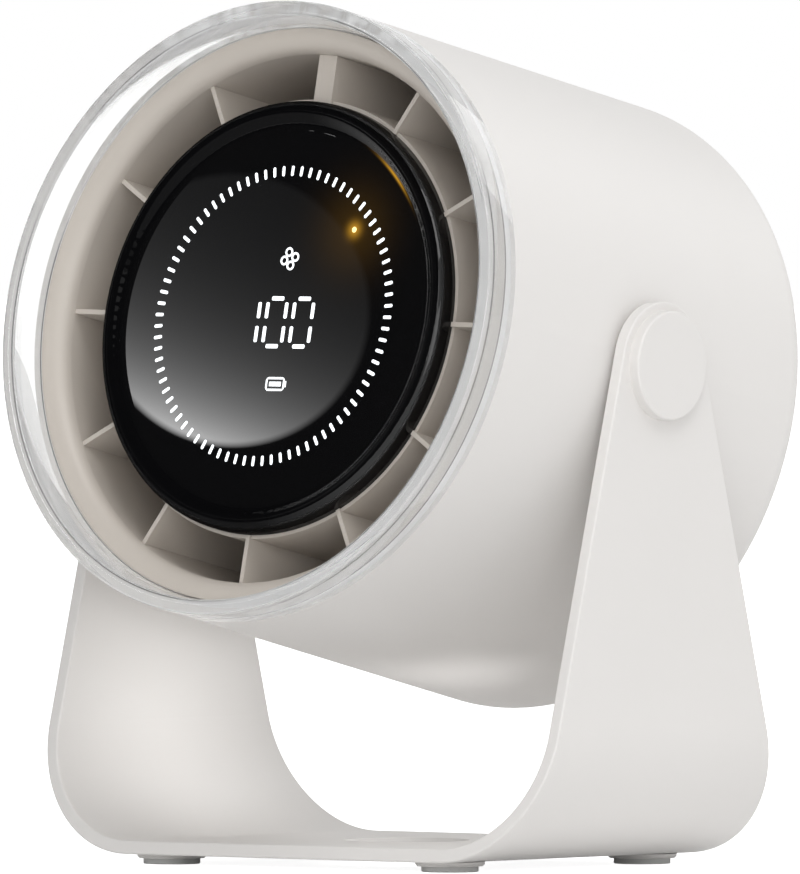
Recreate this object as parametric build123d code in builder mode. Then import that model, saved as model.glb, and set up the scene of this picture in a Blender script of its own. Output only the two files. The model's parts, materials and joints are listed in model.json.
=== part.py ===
"""A desk air circulator: a short barrel fan that tilts between the legs of a bent U stand.

Air enters the rear grille, passes the impeller and the guide vanes, and leaves through the
ring-shaped gap between the round display and the duct, inside a clear front ring.

Millimetres. X runs from leg to leg, the fan looks towards -Y and a little up, Z is up.
The origin is on the table, under the middle of the whole object as it stands at rest.
"""

from build123d import *
import os
from math import cos, radians, sin, sqrt

os.makedirs("parts", exist_ok=True)

# ------------------------------------------------------------------ driving dimensions

# the barrel
barrel_radius = 60.0  # at the front rim
barrel_draft = 0.3  # the rear is this much larger in radius
rear_edge_radius = 4.5
shell_wall = 2.2
rear_opening_inset = 14.0  # all insets: smaller in radius by this than what is round it
rear_lip_radius = 0.8

# how the barrel hangs in the stand
rest_tilt = 12.1  # degrees that the barrel looks up
tilt_axis_height = 96.8
front_reach = 50.4  # tilt axis to front rim, measured along the barrel
barrel_rise = 0.7  # the barrel's axis lies this far above the tilt axis

# the stand: one bent strap on four feet
strap_thickness = 2.6
side_gap = 1.1  # barrel to leg
leg_top_radius = 12.2
base_depth = 77.2
bend_radius = 25.0  # outer radius of the two bottom bends
strap_edge_radius = 0.4
base_hole_radius = 12.2
foot_inset_x = 3.95  # the feet's middles, in from where the bends start
foot_inset_y = 9.4
foot_pad_radius = 5.5
foot_pad_height = 1.1  # what shows below its boss
foot_pad_inset = 0.4  # what sits in its boss
foot_boss_radius = 6.7
foot_boss_height = 0.85
foot_boss_edge = 0.4
foot_pad_edge = 0.3

# the tilt pivots, one in each leg
pivot_boss_radius = 8.5
pivot_boss_proud = 0.35
pivot_boss_core_radius = 4.6
pivot_boss_depth = 6.0
bush_radius = 4.2
bush_flange_radius = 8.0
shoulder_radius = 3.0
running_gap = 0.05  # every turning fit, in radius
face_gap = 0.05  # between faces that rub when the barrel tilts
leg_recess_radius = 7.5
leg_recess_depth = 1.2
tension_washer_thickness = 0.3
screw_head_radius = 4.8
screw_head_height = 1.6
screw_socket_across = 3.0
screw_socket_depth = 1.0
thread_radius = 2.0
insert_radius = 2.8
insert_length = 5.2
cap_radius = 10.5
cap_height = 2.3
cap_edge_radius = 0.45
cap_roof = 1.1
cap_spigot_wall = 1.0
cap_screw_gap = 0.8

# the clear front ring
ring_depth = 8.0
ring_front_wall = 3.0
ring_rear_wall = 3.8
ring_skirt_length = 3.0
ring_edge_radius = 0.5
snug_gap = 0.05  # parts that slide together and stay
screw_clearance = 0.1  # round a small screw, in radius

# the duct behind it
duct_inset = 8.25
duct_wall = 1.6
duct_lip_rise = 0.5  # the lip's foremost edge, forward of the ring's rear
duct_lip_length = 3.7
duct_collar = 3.0
duct_tail_gap = 3.0  # behind the impeller
duct_flange = 2.0
duct_mouth_radius = 1.2
rear_screw_inset = 6.4
rear_screw_count = 4
rear_screw_turn = 45.0  # degrees from level to the first one
rear_screw_grip = 6.0
rear_post_radius = 2.6

# the hub and its guide vanes
hub_cell_gap = 3.64  # round the far corners of the battery cells
hub_wall = 1.6
hub_front_sink = 4.2  # all sinks: this far behind the lens's crest
hub_straight_length = 4.0  # from the cells' middles to where it tapers
hub_tail_gap = 3.4  # inside, behind the control board
hub_tail_inset = 7.5
vane_count = 12
vane_thickness = 0.9
vane_turn = -1.0  # degrees that the whole set is turned
vane_front_sink = 3.6
vane_rear_gap = 4.0  # forward of the hub's tail
wire_vane_width = 4.4
wire_vane_x = 3.0
board_post_radius = 2.4
board_post_inset = 6.0
board_post_count = 3
board_post_turn = 60.0

# the display
lens_inset = 0.7
lens_crest_depth = 7.7
lens_crest_inset = 2.7
lens_face_inset = 5.9
lens_face_sink = 1.25
lens_shoulder_sink = 2.5
lens_thickness = 2.05
lens_skirt_gap = 0.15
mark_proud = 0.02
tick_count = 80
tick_radius = 28.4
tick_length = 2.0
tick_width = 0.65
light_guide_thickness = 1.4
light_guide_width = 3.6
symbol_x = 2.8  # the column of symbols stands this far right of the axis
symbol_y = -1.0
symbol_plate_radius = 19.0
digit_y = -1.25
digit_x = 0.7  # the middle digit
digit_pitch = 6.65
digit_height = 9.34  # between the middles of its level strokes
stroke_width = 0.82
stroke_corner = 0.3
upright_stroke = 3.15
upright_offset = 2.34  # middle of the digit to the middle of an upright stroke
level_stroke = 3.05
fan_icon_x = 2.25
fan_icon_y = 11.2
fan_icon_petals = 4
fan_icon_turn = 15.0
fan_icon_reach = 1.35
fan_icon_petal_radius = 0.95
battery_icon_y = -13.3
battery_icon_length = 4.7
battery_icon_height = 2.7
battery_icon_corner = 0.8
battery_tip_length = 0.4
battery_tip_height = 1.2
battery_bar_length = 2.9
battery_bar_height = 0.9
icon_line = 0.42
status_x = 17.3
status_y = 17.0
status_radius = 0.55
status_flange_radius = 1.6
display_frame_wall = 2.7
display_ledge = 2.1
display_ledge_thickness = 2.0
board_thickness = 1.6
display_board_gap = 0.25
led_height = 0.9
led_length = 1.6
led_width = 0.8
ring_led_count = 20
symbol_led_pitch = 6.0
symbol_led_columns = 3
symbol_led_rows = 5

# battery and control board
cell_radius = 9.2
cell_length = 65.0
cell_pitch = 19.0
cell_gap = 4.8  # behind the display board
cell_edge_radius = 0.8
tab_thickness = 0.3
tab_width = 8.0
tab_length = 27.0
tray_inset = 4.2
tray_thickness = 1.5
tray_wall = 1.4
tray_wall_height = 8.0
tray_wall_width = 26.0
tray_foot_radius = 1.6
tray_foot_inset = 6.2
tray_foot_count = 3
control_board_inset = 7.4
control_board_gap = 1.6  # behind the tray
component_height = 1.1
components = (  # x, y, width and height of each on the board's front face
    (0.0, 0.0, 9.0, 9.0),
    (-15.0, 12.0, 6.0, 6.0),
    (14.0, 9.0, 7.0, 5.0),
    (-14.0, -12.0, 8.0, 6.0),
    (13.0, -11.0, 5.0, 5.0),
    (3.0, 24.0, 8.0, 4.0),
)
small_screw_radius = 1.0
small_head_radius = 1.9
small_head_height = 1.2
cross_length = 2.2
cross_width = 0.5
cross_depth = 0.6
ribbon_width = 10.0
ribbon_thickness = 0.4
ribbon_y = -30.0
ribbon_gap = 0.4

# motor
motor_flange_radius = 13.0
motor_flange = 1.6
bearing_radius = 4.0
bearing_width = 4.0
bearing_second_gap = 2.0  # behind the stator
tube_wall = 1.4
tube_lip = 0.5  # past the second bearing
shaft_radius = 1.5
shaft_front_gap = 0.6  # behind the motor's flange, like the next four
stator_radius = 13.4
stator_front_gap = 1.9
stator_length = 9.0
stator_slots = 9
tooth_width = 2.6
stator_ring_wall = 2.0
shoe_wall = 1.4
shoe_width = 6.6
coil_thickness = 1.2
coil_gap = 0.3
air_gap = 0.6
magnet_thickness = 1.8
magnet_count = 12
magnet_width = 6.6
magnet_front_gap = 1.8
magnet_overlength = 0.4  # longer than the stator
can_wall = 1.2
can_front_gap = 0.8
can_rear_gap = 0.3  # past the tube
can_boss_radius = 3.2
can_boss_length = 2.5
motor_screw_circle = 10.5
motor_screw_count = 3
motor_screw_turn = 90.0
lead_radius = 0.9
lead_y = -10.2
lead_end_gap = 0.5

# impeller
impeller_hub_inset = 1.5  # from the hub's tail
impeller_wall = 1.8
impeller_front_gap = 1.8  # behind the hub
impeller_dome_length = 11.0
impeller_tail_gap = 12.5  # its tail, behind the can's rear
impeller_tip_gap = 0.75
impeller_socket_wall = 1.6
impeller_socket_length = 12.5  # forward of the can's rear
impeller_socket_sink = 2.7  # its foot, forward of the dome's tip
impeller_web = 1.5
blade_count = 9
blade_thickness = 1.4
blade_setback = 12.2  # its middle, behind the impeller's front
blade_overrun = 1.5  # both ends are drawn this much too long, then trimmed round
blade_root_chord = 24.0
blade_root_angle = 42.0  # degrees off the barrel's axis
blade_tip_chord = 25.0
blade_tip_angle = 58.0

# rear grille, dial and charging socket
grille_flange = 2.0
grille_bar_width = 1.5
grille_bar_depth = 3.4
grille_inset = 0.2  # its rear behind the shell's rear face
grille_fit = 0.1
grille_ring_pitch = 4.2
grille_rib_count = 12
dial_radius = 15.0
dial_gap = 0.6
dial_well_wall = 1.6
dial_well_floor = 2.0
dial_proud = 3.0
dial_wall = 2.0
dial_edge_radius = 0.8
dial_boss_radius = 5.4
dial_front_gap = 1.4  # to the well's floor, so that it can be pressed
dial_flutes = 48
dial_flute_radius = 0.55
dial_travel = 0.6
dial_board_size = 20.0
dial_board_gap = 3.8  # behind the impeller
encoder_size = 12.0
encoder_length = 6.0
encoder_bush_radius = 4.4
encoder_bush_length = 2.8
dial_shaft_radius = 3.0
dial_shaft_flat = 1.6  # its axis to the flat
dial_shaft_reach = 4.4  # how far into the encoder it goes from the bush's end
plunger_radius = 1.6
plunger_length = 2.8
plunger_gap = 0.2
usb_middle_inset = 8.8
usb_width = 8.94
usb_height = 3.26
usb_wall = 0.3
usb_corner = 1.5
usb_tongue_width = 6.7
usb_tongue_thickness = 0.7
usb_tongue_inset = 0.8
usb_length = 6.9
usb_inset = 0.3  # the socket's mouth behind the rear face
usb_slot_gap = 0.25
usb_board_width = 16.0
usb_board_height = 8.4
usb_board_thickness = 1.0
usb_post_radius = 1.1
usb_post_x = 6.6
usb_lead_rise = 1.8

# the wires that the duct carries
harness_radius = 1.2
harness_hole_gap = 0.3
harness_gap = 3.0  # forward of the cells' middles
harness_y = 30.0
harness_bend = 2.1
harness_notch_floor = 0.5  # left between the notch and the duct
usb_lead_radius = 0.8
usb_lead_bend = 2.6

# ------------------------------------------------------------------ places worked out

pitch = radians(rest_tilt)
forward = Vector(0, -cos(pitch), sin(pitch))
upward = Vector(0, sin(pitch), cos(pitch))

base_bottom = foot_pad_height + foot_boss_height
leg_inner = barrel_radius + side_gap
leg_outer = leg_inner + strap_thickness
foot_x = leg_outer - bend_radius - foot_inset_x
foot_y = base_depth / 2 - foot_inset_y

# across the barrel, from the rim inward
rear_radius = barrel_radius + barrel_draft
rear_opening_radius = barrel_radius - rear_opening_inset
rear_screw_circle = barrel_radius - rear_screw_inset
shell_inner_radius = barrel_radius - shell_wall
collar_radius = shell_inner_radius - snug_gap
ring_rear_radius = barrel_radius - ring_rear_wall
duct_lip_radius = ring_rear_radius - 2 * snug_gap
duct_radius = barrel_radius - duct_inset
duct_outer_radius = duct_radius + duct_wall
harness_run_y = (duct_outer_radius + shell_inner_radius) / 2
harness_hole_radius = harness_radius + harness_hole_gap
usb_y = usb_middle_inset - barrel_radius
usb_lead_y = usb_y + usb_lead_rise

# across the hub, which is just wide enough for the battery cells
cell_corner = (cell_length / 2 + tab_thickness, cell_pitch / 2 + cell_radius)
hub_inner_radius = sqrt(cell_corner[0] ** 2 + cell_corner[1] ** 2) + hub_cell_gap
hub_radius = hub_inner_radius + hub_wall
hub_tail_radius = hub_radius - hub_tail_inset
hub_tail_inner_radius = hub_tail_radius - hub_wall
frame_radius = hub_inner_radius - snug_gap
frame_inner_radius = frame_radius - display_frame_wall
lens_radius = hub_radius - lens_inset
lens_crest_radius = lens_radius - lens_crest_inset
lens_face_radius = lens_radius - lens_face_inset
lens_skirt_radius = frame_inner_radius - lens_skirt_gap
tray_radius = hub_inner_radius - tray_inset
tray_foot_circle = tray_radius - tray_foot_inset
control_board_radius = hub_inner_radius - control_board_inset
board_post_circle = control_board_radius - board_post_inset
can_inner_radius = stator_radius + air_gap + magnet_thickness
can_radius = can_inner_radius + can_wall
impeller_radius = duct_radius - impeller_tip_gap
impeller_hub_radius = hub_tail_radius - impeller_hub_inset
well_radius = dial_radius + dial_gap
well_outer_radius = well_radius + dial_well_wall

# along the barrel, from the front rim backward
duct_lip_start = ring_depth - duct_lip_rise
collar_front = ring_depth + ring_skirt_length
lens_face_depth = lens_crest_depth + lens_face_sink
mark_depth = lens_face_depth - mark_proud
lens_shoulder_depth = lens_crest_depth + lens_shoulder_sink
vane_front_depth = lens_crest_depth + vane_front_sink
hub_front_depth = lens_crest_depth + hub_front_sink
lens_back_depth = lens_face_depth + lens_thickness
guide_back_depth = lens_back_depth + light_guide_thickness
display_board_depth = guide_back_depth + led_height + 2 * snug_gap
display_board_rear = display_board_depth + board_thickness
cell_depth = display_board_rear + cell_gap + cell_radius
harness_depth = cell_depth - harness_gap
hub_straight_depth = cell_depth + hub_straight_length
tray_depth = cell_depth + cell_radius + 2 * snug_gap
tray_rear = tray_depth + tray_thickness
control_board_depth = tray_rear + control_board_gap
control_board_rear = control_board_depth + board_thickness
hub_wall_front = control_board_rear + hub_tail_gap
hub_tail_depth = hub_wall_front + hub_wall
vane_rear_depth = hub_tail_depth - vane_rear_gap
impeller_front_depth = hub_tail_depth + impeller_front_gap
blade_depth = impeller_front_depth + blade_setback
bearing_first_depth = hub_tail_depth + motor_flange
lead_end_depth = bearing_first_depth + lead_end_gap
shaft_front_depth = bearing_first_depth + shaft_front_gap
can_front_depth = bearing_first_depth + can_front_gap
magnet_front_depth = bearing_first_depth + magnet_front_gap
magnet_length = stator_length + magnet_overlength
stator_front_depth = bearing_first_depth + stator_front_gap
bearing_second_depth = stator_front_depth + stator_length + bearing_second_gap
tube_end_depth = bearing_second_depth + bearing_width + tube_lip
can_rear_depth = tube_end_depth + can_rear_gap + can_wall
impeller_socket_depth = can_rear_depth - impeller_socket_length
impeller_tail_depth = can_rear_depth + impeller_tail_gap
impeller_shoulder_depth = impeller_tail_depth - impeller_dome_length
duct_rear_depth = impeller_tail_depth + duct_tail_gap
dial_board_depth = impeller_tail_depth + dial_board_gap
dial_board_rear = dial_board_depth + board_thickness
well_floor_front = dial_board_rear + encoder_length
bush_end_depth = well_floor_front + encoder_bush_length
shaft_end_depth = bush_end_depth - dial_shaft_reach
grille_flange_front = well_floor_front + dial_well_floor
dial_front = grille_flange_front + dial_front_gap
grille_flange_rear = grille_flange_front + grille_flange
barrel_length = grille_flange_rear + shell_wall
grille_rear = barrel_length - grille_inset
dial_rear = barrel_length + dial_proud
dial_roof = dial_rear - dial_wall
usb_front_depth = barrel_length - usb_inset - usb_length
usb_board_depth = usb_front_depth - usb_board_thickness

# how far the barrel reaches in front of and behind the tilt axis, so that the origin
# lies under the middle of the object
rear_reach = barrel_length - front_reach - rear_edge_radius
front_overhang = front_reach * cos(pitch) + (barrel_radius - barrel_rise) * sin(pitch)
rear_overhang = (
    rear_reach * cos(pitch)
    + (rear_radius - rear_edge_radius + barrel_rise) * sin(pitch)
    + rear_edge_radius
)
stand_y = (front_overhang - rear_overhang) / 2
tilt_axis = Vector(0, stand_y, tilt_axis_height)
rim_centre = tilt_axis + upward * barrel_rise + forward * front_reach
barrel_axis = Axis(rim_centre, forward)


def section(radius, depth):
    """A point of a turned profile: its radius, and its depth behind the front rim."""
    return (radius, -depth)


def across(depth):
    """The plane square to the barrel's axis at a depth, facing forward, with up as its y."""
    return Plane(origin=rim_centre - forward * depth, x_dir=(1, 0, 0), z_dir=forward)


def beside(side, x):
    """The plane square to the tilt axis at a distance x from the middle, facing outward."""
    origin = (side * x, stand_y, tilt_axis_height)
    return Plane(origin=origin, x_dir=(0, 1, 0), z_dir=(side, 0, 0))


def lengthwise(x):
    """The upright plane along the barrel at x: its x runs up the barrel, its y forward."""
    origin = rim_centre + Vector(x, 0, 0)
    return Plane(origin=origin, x_dir=upward, z_dir=upward.cross(forward))


def out_from_axis(turn, radius, depth):
    """The plane facing out from the barrel's axis at a turn; its x runs along the axis."""
    outward = Vector(cos(radians(turn)), 0, 0) + upward * sin(radians(turn))
    origin = rim_centre - forward * depth + outward * radius
    return Plane(origin=origin, x_dir=forward, z_dir=outward)


turning = Plane(origin=rim_centre, x_dir=(1, 0, 0), z_dir=Vector(1, 0, 0).cross(forward))
wire_plane = Plane(
    origin=rim_centre - forward * harness_depth + Vector(wire_vane_x, 0, 0),
    x_dir=(1, 0, 0),
    z_dir=upward,
)
sides = ((1, "right"), (-1, "left"))


def save(piece, name):
    piece.part.label = name
    export_step(piece.part, f"parts/{name}.step")


# ------------------------------------------------------------------ the stand

leg_top = tilt_axis_height + leg_top_radius
base_top = base_bottom + strap_thickness
strap_outline = [
    (-leg_outer, leg_top),
    (-leg_outer, base_bottom),
    (leg_outer, base_bottom),
    (leg_outer, leg_top),
    (leg_inner, leg_top),
    (leg_inner, base_top),
    (-leg_inner, base_top),
    (-leg_inner, leg_top),
]
inner_bend = bend_radius - strap_thickness
strap_corners = [0, bend_radius, bend_radius, 0, 0, inner_bend, inner_bend, 0]

with BuildPart() as u_stand:
    # the strap as it is bent, then trimmed to the legs' tapering side view
    with BuildSketch(Plane.XZ.offset(-stand_y)):
        with BuildLine():
            FilletPolyline(*strap_outline, radius=strap_corners, close=True)
        make_face()
    extrude(amount=base_depth / 2, both=True)
    with BuildSketch(Plane.YZ):
        with Locations((stand_y, tilt_axis_height)):
            Circle(leg_top_radius)
        with BuildLine():
            Line(
                (stand_y - base_depth / 2, base_bottom),
                (stand_y + base_depth / 2, base_bottom),
            )
        make_hull()
    extrude(amount=leg_outer, both=True, mode=Mode.INTERSECT)
    sharp_edges = u_stand.edges().filter_by(Axis.Y, reverse=True)
    fillet(sharp_edges.filter_by(lambda edge: edge.length > bend_radius / 3), strap_edge_radius)
    with BuildSketch(Plane.XY.offset(base_bottom)):
        with Locations((0, stand_y)):
            Circle(base_hole_radius)
    extrude(amount=strap_thickness, mode=Mode.SUBTRACT)
    with BuildSketch(Plane.XY.offset(base_bottom)):
        with Locations((0, stand_y)):
            with GridLocations(2 * foot_x, 2 * foot_y, 2, 2):
                Circle(foot_boss_radius)
    extrude(amount=-foot_boss_height)
    chamfer(u_stand.edges().group_by(Axis.Z)[0], foot_boss_edge)
    with BuildSketch(Plane.XY.offset(foot_pad_height)):
        with Locations((0, stand_y)):
            with GridLocations(2 * foot_x, 2 * foot_y, 2, 2):
                Circle(foot_pad_radius)
    extrude(amount=foot_pad_inset, mode=Mode.SUBTRACT)
    for side, _ in sides:
        with BuildSketch(beside(side, leg_inner)):
            Circle(bush_radius)
        extrude(amount=strap_thickness, mode=Mode.SUBTRACT)
        with BuildSketch(beside(side, leg_outer - leg_recess_depth)):
            Circle(leg_recess_radius)
        extrude(amount=leg_recess_depth, mode=Mode.SUBTRACT)
save(u_stand, "u_stand")

with BuildPart() as foot_pads:
    with BuildSketch(Plane.XY):
        with Locations((0, stand_y)):
            with GridLocations(2 * foot_x, 2 * foot_y, 2, 2):
                Circle(foot_pad_radius)
    extrude(amount=foot_pad_height + foot_pad_inset)
    fillet(foot_pads.edges().group_by(Axis.Z)[0], foot_pad_edge)
save(foot_pads, "foot_pads")

# ------------------------------------------------------------------ the tilt pivots

boss_face = barrel_radius + pivot_boss_proud
recess_floor = leg_outer - leg_recess_depth
head_seat = recess_floor + tension_washer_thickness + face_gap
screw_hole_radius = shoulder_radius + running_gap
screw_tip = barrel_radius - insert_length

for side, hand in sides:
    # a flanged bush lines the leg and spaces it from the barrel
    with BuildPart() as friction_bush:
        with BuildSketch(beside(side, boss_face + face_gap)):
            Circle(bush_flange_radius)
            Circle(screw_hole_radius, mode=Mode.SUBTRACT)
        extrude(amount=leg_inner - boss_face - face_gap)
        with BuildSketch(beside(side, leg_inner)):
            Circle(bush_radius)
            Circle(screw_hole_radius, mode=Mode.SUBTRACT)
        extrude(amount=recess_floor - leg_inner)
    save(friction_bush, f"friction_bush_{hand}")

    # a shoulder screw: head under the cap, shoulder in the bush, thread in the barrel
    with BuildPart() as pivot_screw:
        with BuildSketch(beside(side, head_seat)):
            Circle(screw_head_radius)
        extrude(amount=screw_head_height)
        with BuildSketch(beside(side, boss_face)):
            Circle(shoulder_radius)
        extrude(amount=head_seat - boss_face)
        with BuildSketch(beside(side, screw_tip)):
            Circle(thread_radius)
        extrude(amount=boss_face - screw_tip)
        with BuildSketch(beside(side, head_seat + screw_head_height - screw_socket_depth)):
            RegularPolygon(screw_socket_across / 2, 6, major_radius=False)
        extrude(amount=screw_socket_depth, mode=Mode.SUBTRACT)
    save(pivot_screw, f"pivot_screw_{hand}")

    with BuildPart() as pivot_insert:
        with BuildSketch(beside(side, barrel_radius - insert_length)):
            Circle(insert_radius)
            Circle(thread_radius, mode=Mode.SUBTRACT)
        extrude(amount=insert_length)
    save(pivot_insert, f"pivot_insert_{hand}")

    # a snap-in disc hides the screw
    with BuildPart() as pivot_cap:
        with BuildSketch(beside(side, leg_outer)):
            Circle(cap_radius)
        extrude(amount=cap_height)
        outer_rim = pivot_cap.faces().sort_by(Axis.X)[-1 if side > 0 else 0].edges()
        fillet(outer_rim, cap_edge_radius)
        with BuildSketch(beside(side, leg_outer)):
            Circle(screw_head_radius + cap_screw_gap)
        extrude(amount=cap_height - cap_roof, mode=Mode.SUBTRACT)
        with BuildSketch(beside(side, recess_floor + snug_gap)):
            Circle(leg_recess_radius - snug_gap)
            Circle(leg_recess_radius - snug_gap - cap_spigot_wall, mode=Mode.SUBTRACT)
        extrude(amount=leg_recess_depth - snug_gap)
    save(pivot_cap, f"pivot_cap_{hand}")

with BuildPart() as tension_washers:
    for side, _ in sides:
        with BuildSketch(beside(side, recess_floor)):
            Circle(screw_head_radius)
            Circle(screw_hole_radius, mode=Mode.SUBTRACT)
        extrude(amount=tension_washer_thickness)
save(tension_washers, "tension_washers")

# ------------------------------------------------------------------ the barrel's shell

with BuildPart() as outer_shell:
    with BuildSketch(turning) as shell_profile:
        with BuildLine():
            Polyline(
                section(barrel_radius, ring_depth),
                section(rear_radius, barrel_length),
                section(rear_opening_radius, barrel_length),
                section(rear_opening_radius, grille_flange_rear),
                section(shell_inner_radius, grille_flange_rear),
                section(shell_inner_radius, ring_depth),
                close=True,
            )
        make_face()
        rear_corner = shell_profile.vertices().group_by(Axis.Y)[0].sort_by(Axis.X)[-1]
        fillet(rear_corner, rear_edge_radius)
        rear_lip = shell_profile.vertices().group_by(Axis.Y)[0].sort_by(Axis.X)[0]
        fillet(rear_lip, rear_lip_radius)
    revolve(axis=barrel_axis)
    for side, _ in sides:
        with BuildSketch(beside(side, barrel_radius - pivot_boss_depth)):
            Circle(pivot_boss_core_radius)
        extrude(amount=pivot_boss_depth)
        with BuildSketch(beside(side, barrel_radius - shell_wall)):
            Circle(pivot_boss_radius)
        extrude(amount=shell_wall + pivot_boss_proud)
        with BuildSketch(beside(side, screw_tip)):
            Circle(insert_radius)
        extrude(amount=insert_length + pivot_boss_proud, mode=Mode.SUBTRACT)
    # the charging socket's mouth and the counterbored holes of the rear screws
    with BuildSketch(across(barrel_length)):
        with Locations((0, usb_y)):
            RectangleRounded(
                usb_width + 2 * usb_slot_gap,
                usb_height + 2 * usb_slot_gap,
                usb_corner,
            )
    extrude(amount=shell_wall, mode=Mode.SUBTRACT)
    with BuildSketch(across(barrel_length)):
        with PolarLocations(rear_screw_circle, rear_screw_count, start_angle=rear_screw_turn):
            Circle(small_head_radius + screw_clearance)
    extrude(amount=small_head_height, mode=Mode.SUBTRACT)
    with BuildSketch(across(barrel_length)):
        with PolarLocations(rear_screw_circle, rear_screw_count, start_angle=rear_screw_turn):
            Circle(small_screw_radius + screw_clearance)
    extrude(amount=shell_wall, mode=Mode.SUBTRACT)
save(outer_shell, "outer_shell")

with BuildPart() as clear_ring:
    with BuildSketch(turning) as ring_profile:
        with BuildLine():
            Polyline(
                section(barrel_radius - ring_front_wall, 0),
                section(barrel_radius, 0),
                section(barrel_radius, ring_depth),
                section(collar_radius, ring_depth),
                section(collar_radius, collar_front),
                section(ring_rear_radius, collar_front),
                section(ring_rear_radius, duct_lip_start),
                close=True,
            )
        make_face()
        fillet(ring_profile.vertices().group_by(Axis.Y)[-1], ring_edge_radius)
    revolve(axis=barrel_axis)
save(clear_ring, "clear_ring")

# ------------------------------------------------------------------ the duct

lip_width = duct_lip_radius - duct_radius
lip_end = duct_lip_start + duct_lip_length

with BuildPart() as duct_liner:
    with BuildSketch(turning) as duct_profile:
        with BuildLine():
            EllipticalCenterArc(
                section(duct_lip_radius, lip_end),
                lip_width,
                duct_lip_length,
                start_angle=90,
                arc_size=90,
            )
            Polyline(
                section(duct_radius, lip_end),
                section(duct_radius, duct_rear_depth),
                section(collar_radius, duct_rear_depth),
                section(collar_radius, duct_rear_depth - duct_flange),
                section(duct_outer_radius, duct_rear_depth - duct_flange),
                section(duct_outer_radius, collar_front + snug_gap + duct_collar),
                section(collar_radius, collar_front + snug_gap + duct_collar),
                section(collar_radius, collar_front + snug_gap),
                section(duct_lip_radius, collar_front + snug_gap),
                section(duct_lip_radius, duct_lip_start),
            )
        make_face()
        mouth = duct_profile.vertices().group_by(Axis.Y)[0].sort_by(Axis.X)[0]
        fillet(mouth, duct_mouth_radius)
    revolve(axis=barrel_axis)
    # posts for the screws that hold the rear grille
    with BuildSketch(across(duct_rear_depth)):
        with PolarLocations(rear_screw_circle, rear_screw_count, start_angle=rear_screw_turn):
            Circle(rear_post_radius)
    extrude(amount=-(grille_flange_front - duct_rear_depth))
    with BuildSketch(across(grille_flange_front)):
        with PolarLocations(rear_screw_circle, rear_screw_count, start_angle=rear_screw_turn):
            Circle(small_screw_radius)
    extrude(amount=rear_screw_grip, mode=Mode.SUBTRACT)
    # the wires run outside the duct, through its rear flange, and in through its wall
    with BuildSketch(across(duct_rear_depth)):
        with Locations((wire_vane_x, duct_outer_radius + harness_notch_floor)):
            Rectangle(2 * harness_hole_radius, collar_radius, align=(Align.CENTER, Align.MIN))
    extrude(amount=duct_flange, mode=Mode.SUBTRACT)
    with BuildSketch(wire_plane):
        Circle(harness_hole_radius)
    extrude(amount=duct_outer_radius, mode=Mode.SUBTRACT)
save(duct_liner, "duct_liner")

# ------------------------------------------------------------------ hub and guide vanes

plain_vanes = vane_count - 1
vane_step = 360 / vane_count
vane_middle = (hub_inner_radius + duct_radius) / 2
vane_length = duct_radius - hub_inner_radius
vane_front_radius = lens_radius + 2 * snug_gap

with BuildPart() as hub_housing:
    with BuildSketch(turning):
        with BuildLine():
            Polyline(
                section(hub_inner_radius, hub_front_depth),
                section(hub_radius, hub_front_depth),
                section(hub_radius, hub_straight_depth),
                section(hub_tail_radius, hub_tail_depth),
                section(0, hub_tail_depth),
                section(0, hub_wall_front),
                section(hub_tail_inner_radius, hub_wall_front),
                section(hub_inner_radius, hub_straight_depth),
                close=True,
            )
        make_face()
    revolve(axis=barrel_axis)
    # posts for the control board, and holes for motor, leads and wires
    with BuildSketch(across(hub_wall_front)):
        with PolarLocations(board_post_circle, board_post_count, start_angle=board_post_turn):
            Circle(board_post_radius)
            Circle(small_screw_radius, mode=Mode.SUBTRACT)
    extrude(amount=hub_wall_front - control_board_rear)
    with BuildSketch(across(hub_tail_depth)):
        with PolarLocations(motor_screw_circle, motor_screw_count, start_angle=motor_screw_turn):
            Circle(small_screw_radius + screw_clearance)
        with Locations((0, lead_y)):
            Circle(lead_radius + screw_clearance)
    extrude(amount=hub_wall, mode=Mode.SUBTRACT)
    with BuildSketch(wire_plane):
        Circle(harness_hole_radius)
    extrude(amount=duct_radius, mode=Mode.SUBTRACT)
save(hub_housing, "hub_housing")

with BuildPart() as guide_vanes:
    # eleven plain vanes, and at the top a thick one that carries the wires
    with BuildSketch(across(vane_front_depth)):
        with PolarLocations(
            vane_middle, plain_vanes, 90 + vane_step + vane_turn, 360 - vane_step
        ):
            Rectangle(2 * vane_length, vane_thickness)
        with Locations((wire_vane_x, vane_middle)):
            Rectangle(wire_vane_width, 2 * vane_length)
        Circle(duct_radius - snug_gap, mode=Mode.INTERSECT)
    extrude(amount=vane_front_depth - vane_rear_depth)
    # their roots stop at the lens's edge and at the hub
    with BuildSketch(turning):
        with BuildLine():
            Polyline(
                section(0, vane_front_depth),
                section(vane_front_radius, vane_front_depth),
                section(vane_front_radius, hub_front_depth),
                section(hub_radius, hub_front_depth),
                section(hub_radius, hub_straight_depth),
                section(hub_tail_radius, hub_tail_depth),
                section(0, hub_tail_depth),
                close=True,
            )
        make_face()
    revolve(axis=barrel_axis, mode=Mode.SUBTRACT)
    with BuildSketch(wire_plane):
        Circle(harness_hole_radius)
    extrude(amount=duct_radius, mode=Mode.SUBTRACT)
save(guide_vanes, "guide_vanes")

# ------------------------------------------------------------------ the display

status_place = (status_x, status_y)
digit_places = [(digit_x + n * digit_pitch, digit_y) for n in (0, 1)]
one_place = (digit_x - digit_pitch + upright_offset, digit_y)
stroke_rise = digit_height / 2
upright_rise = digit_height / 4


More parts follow.
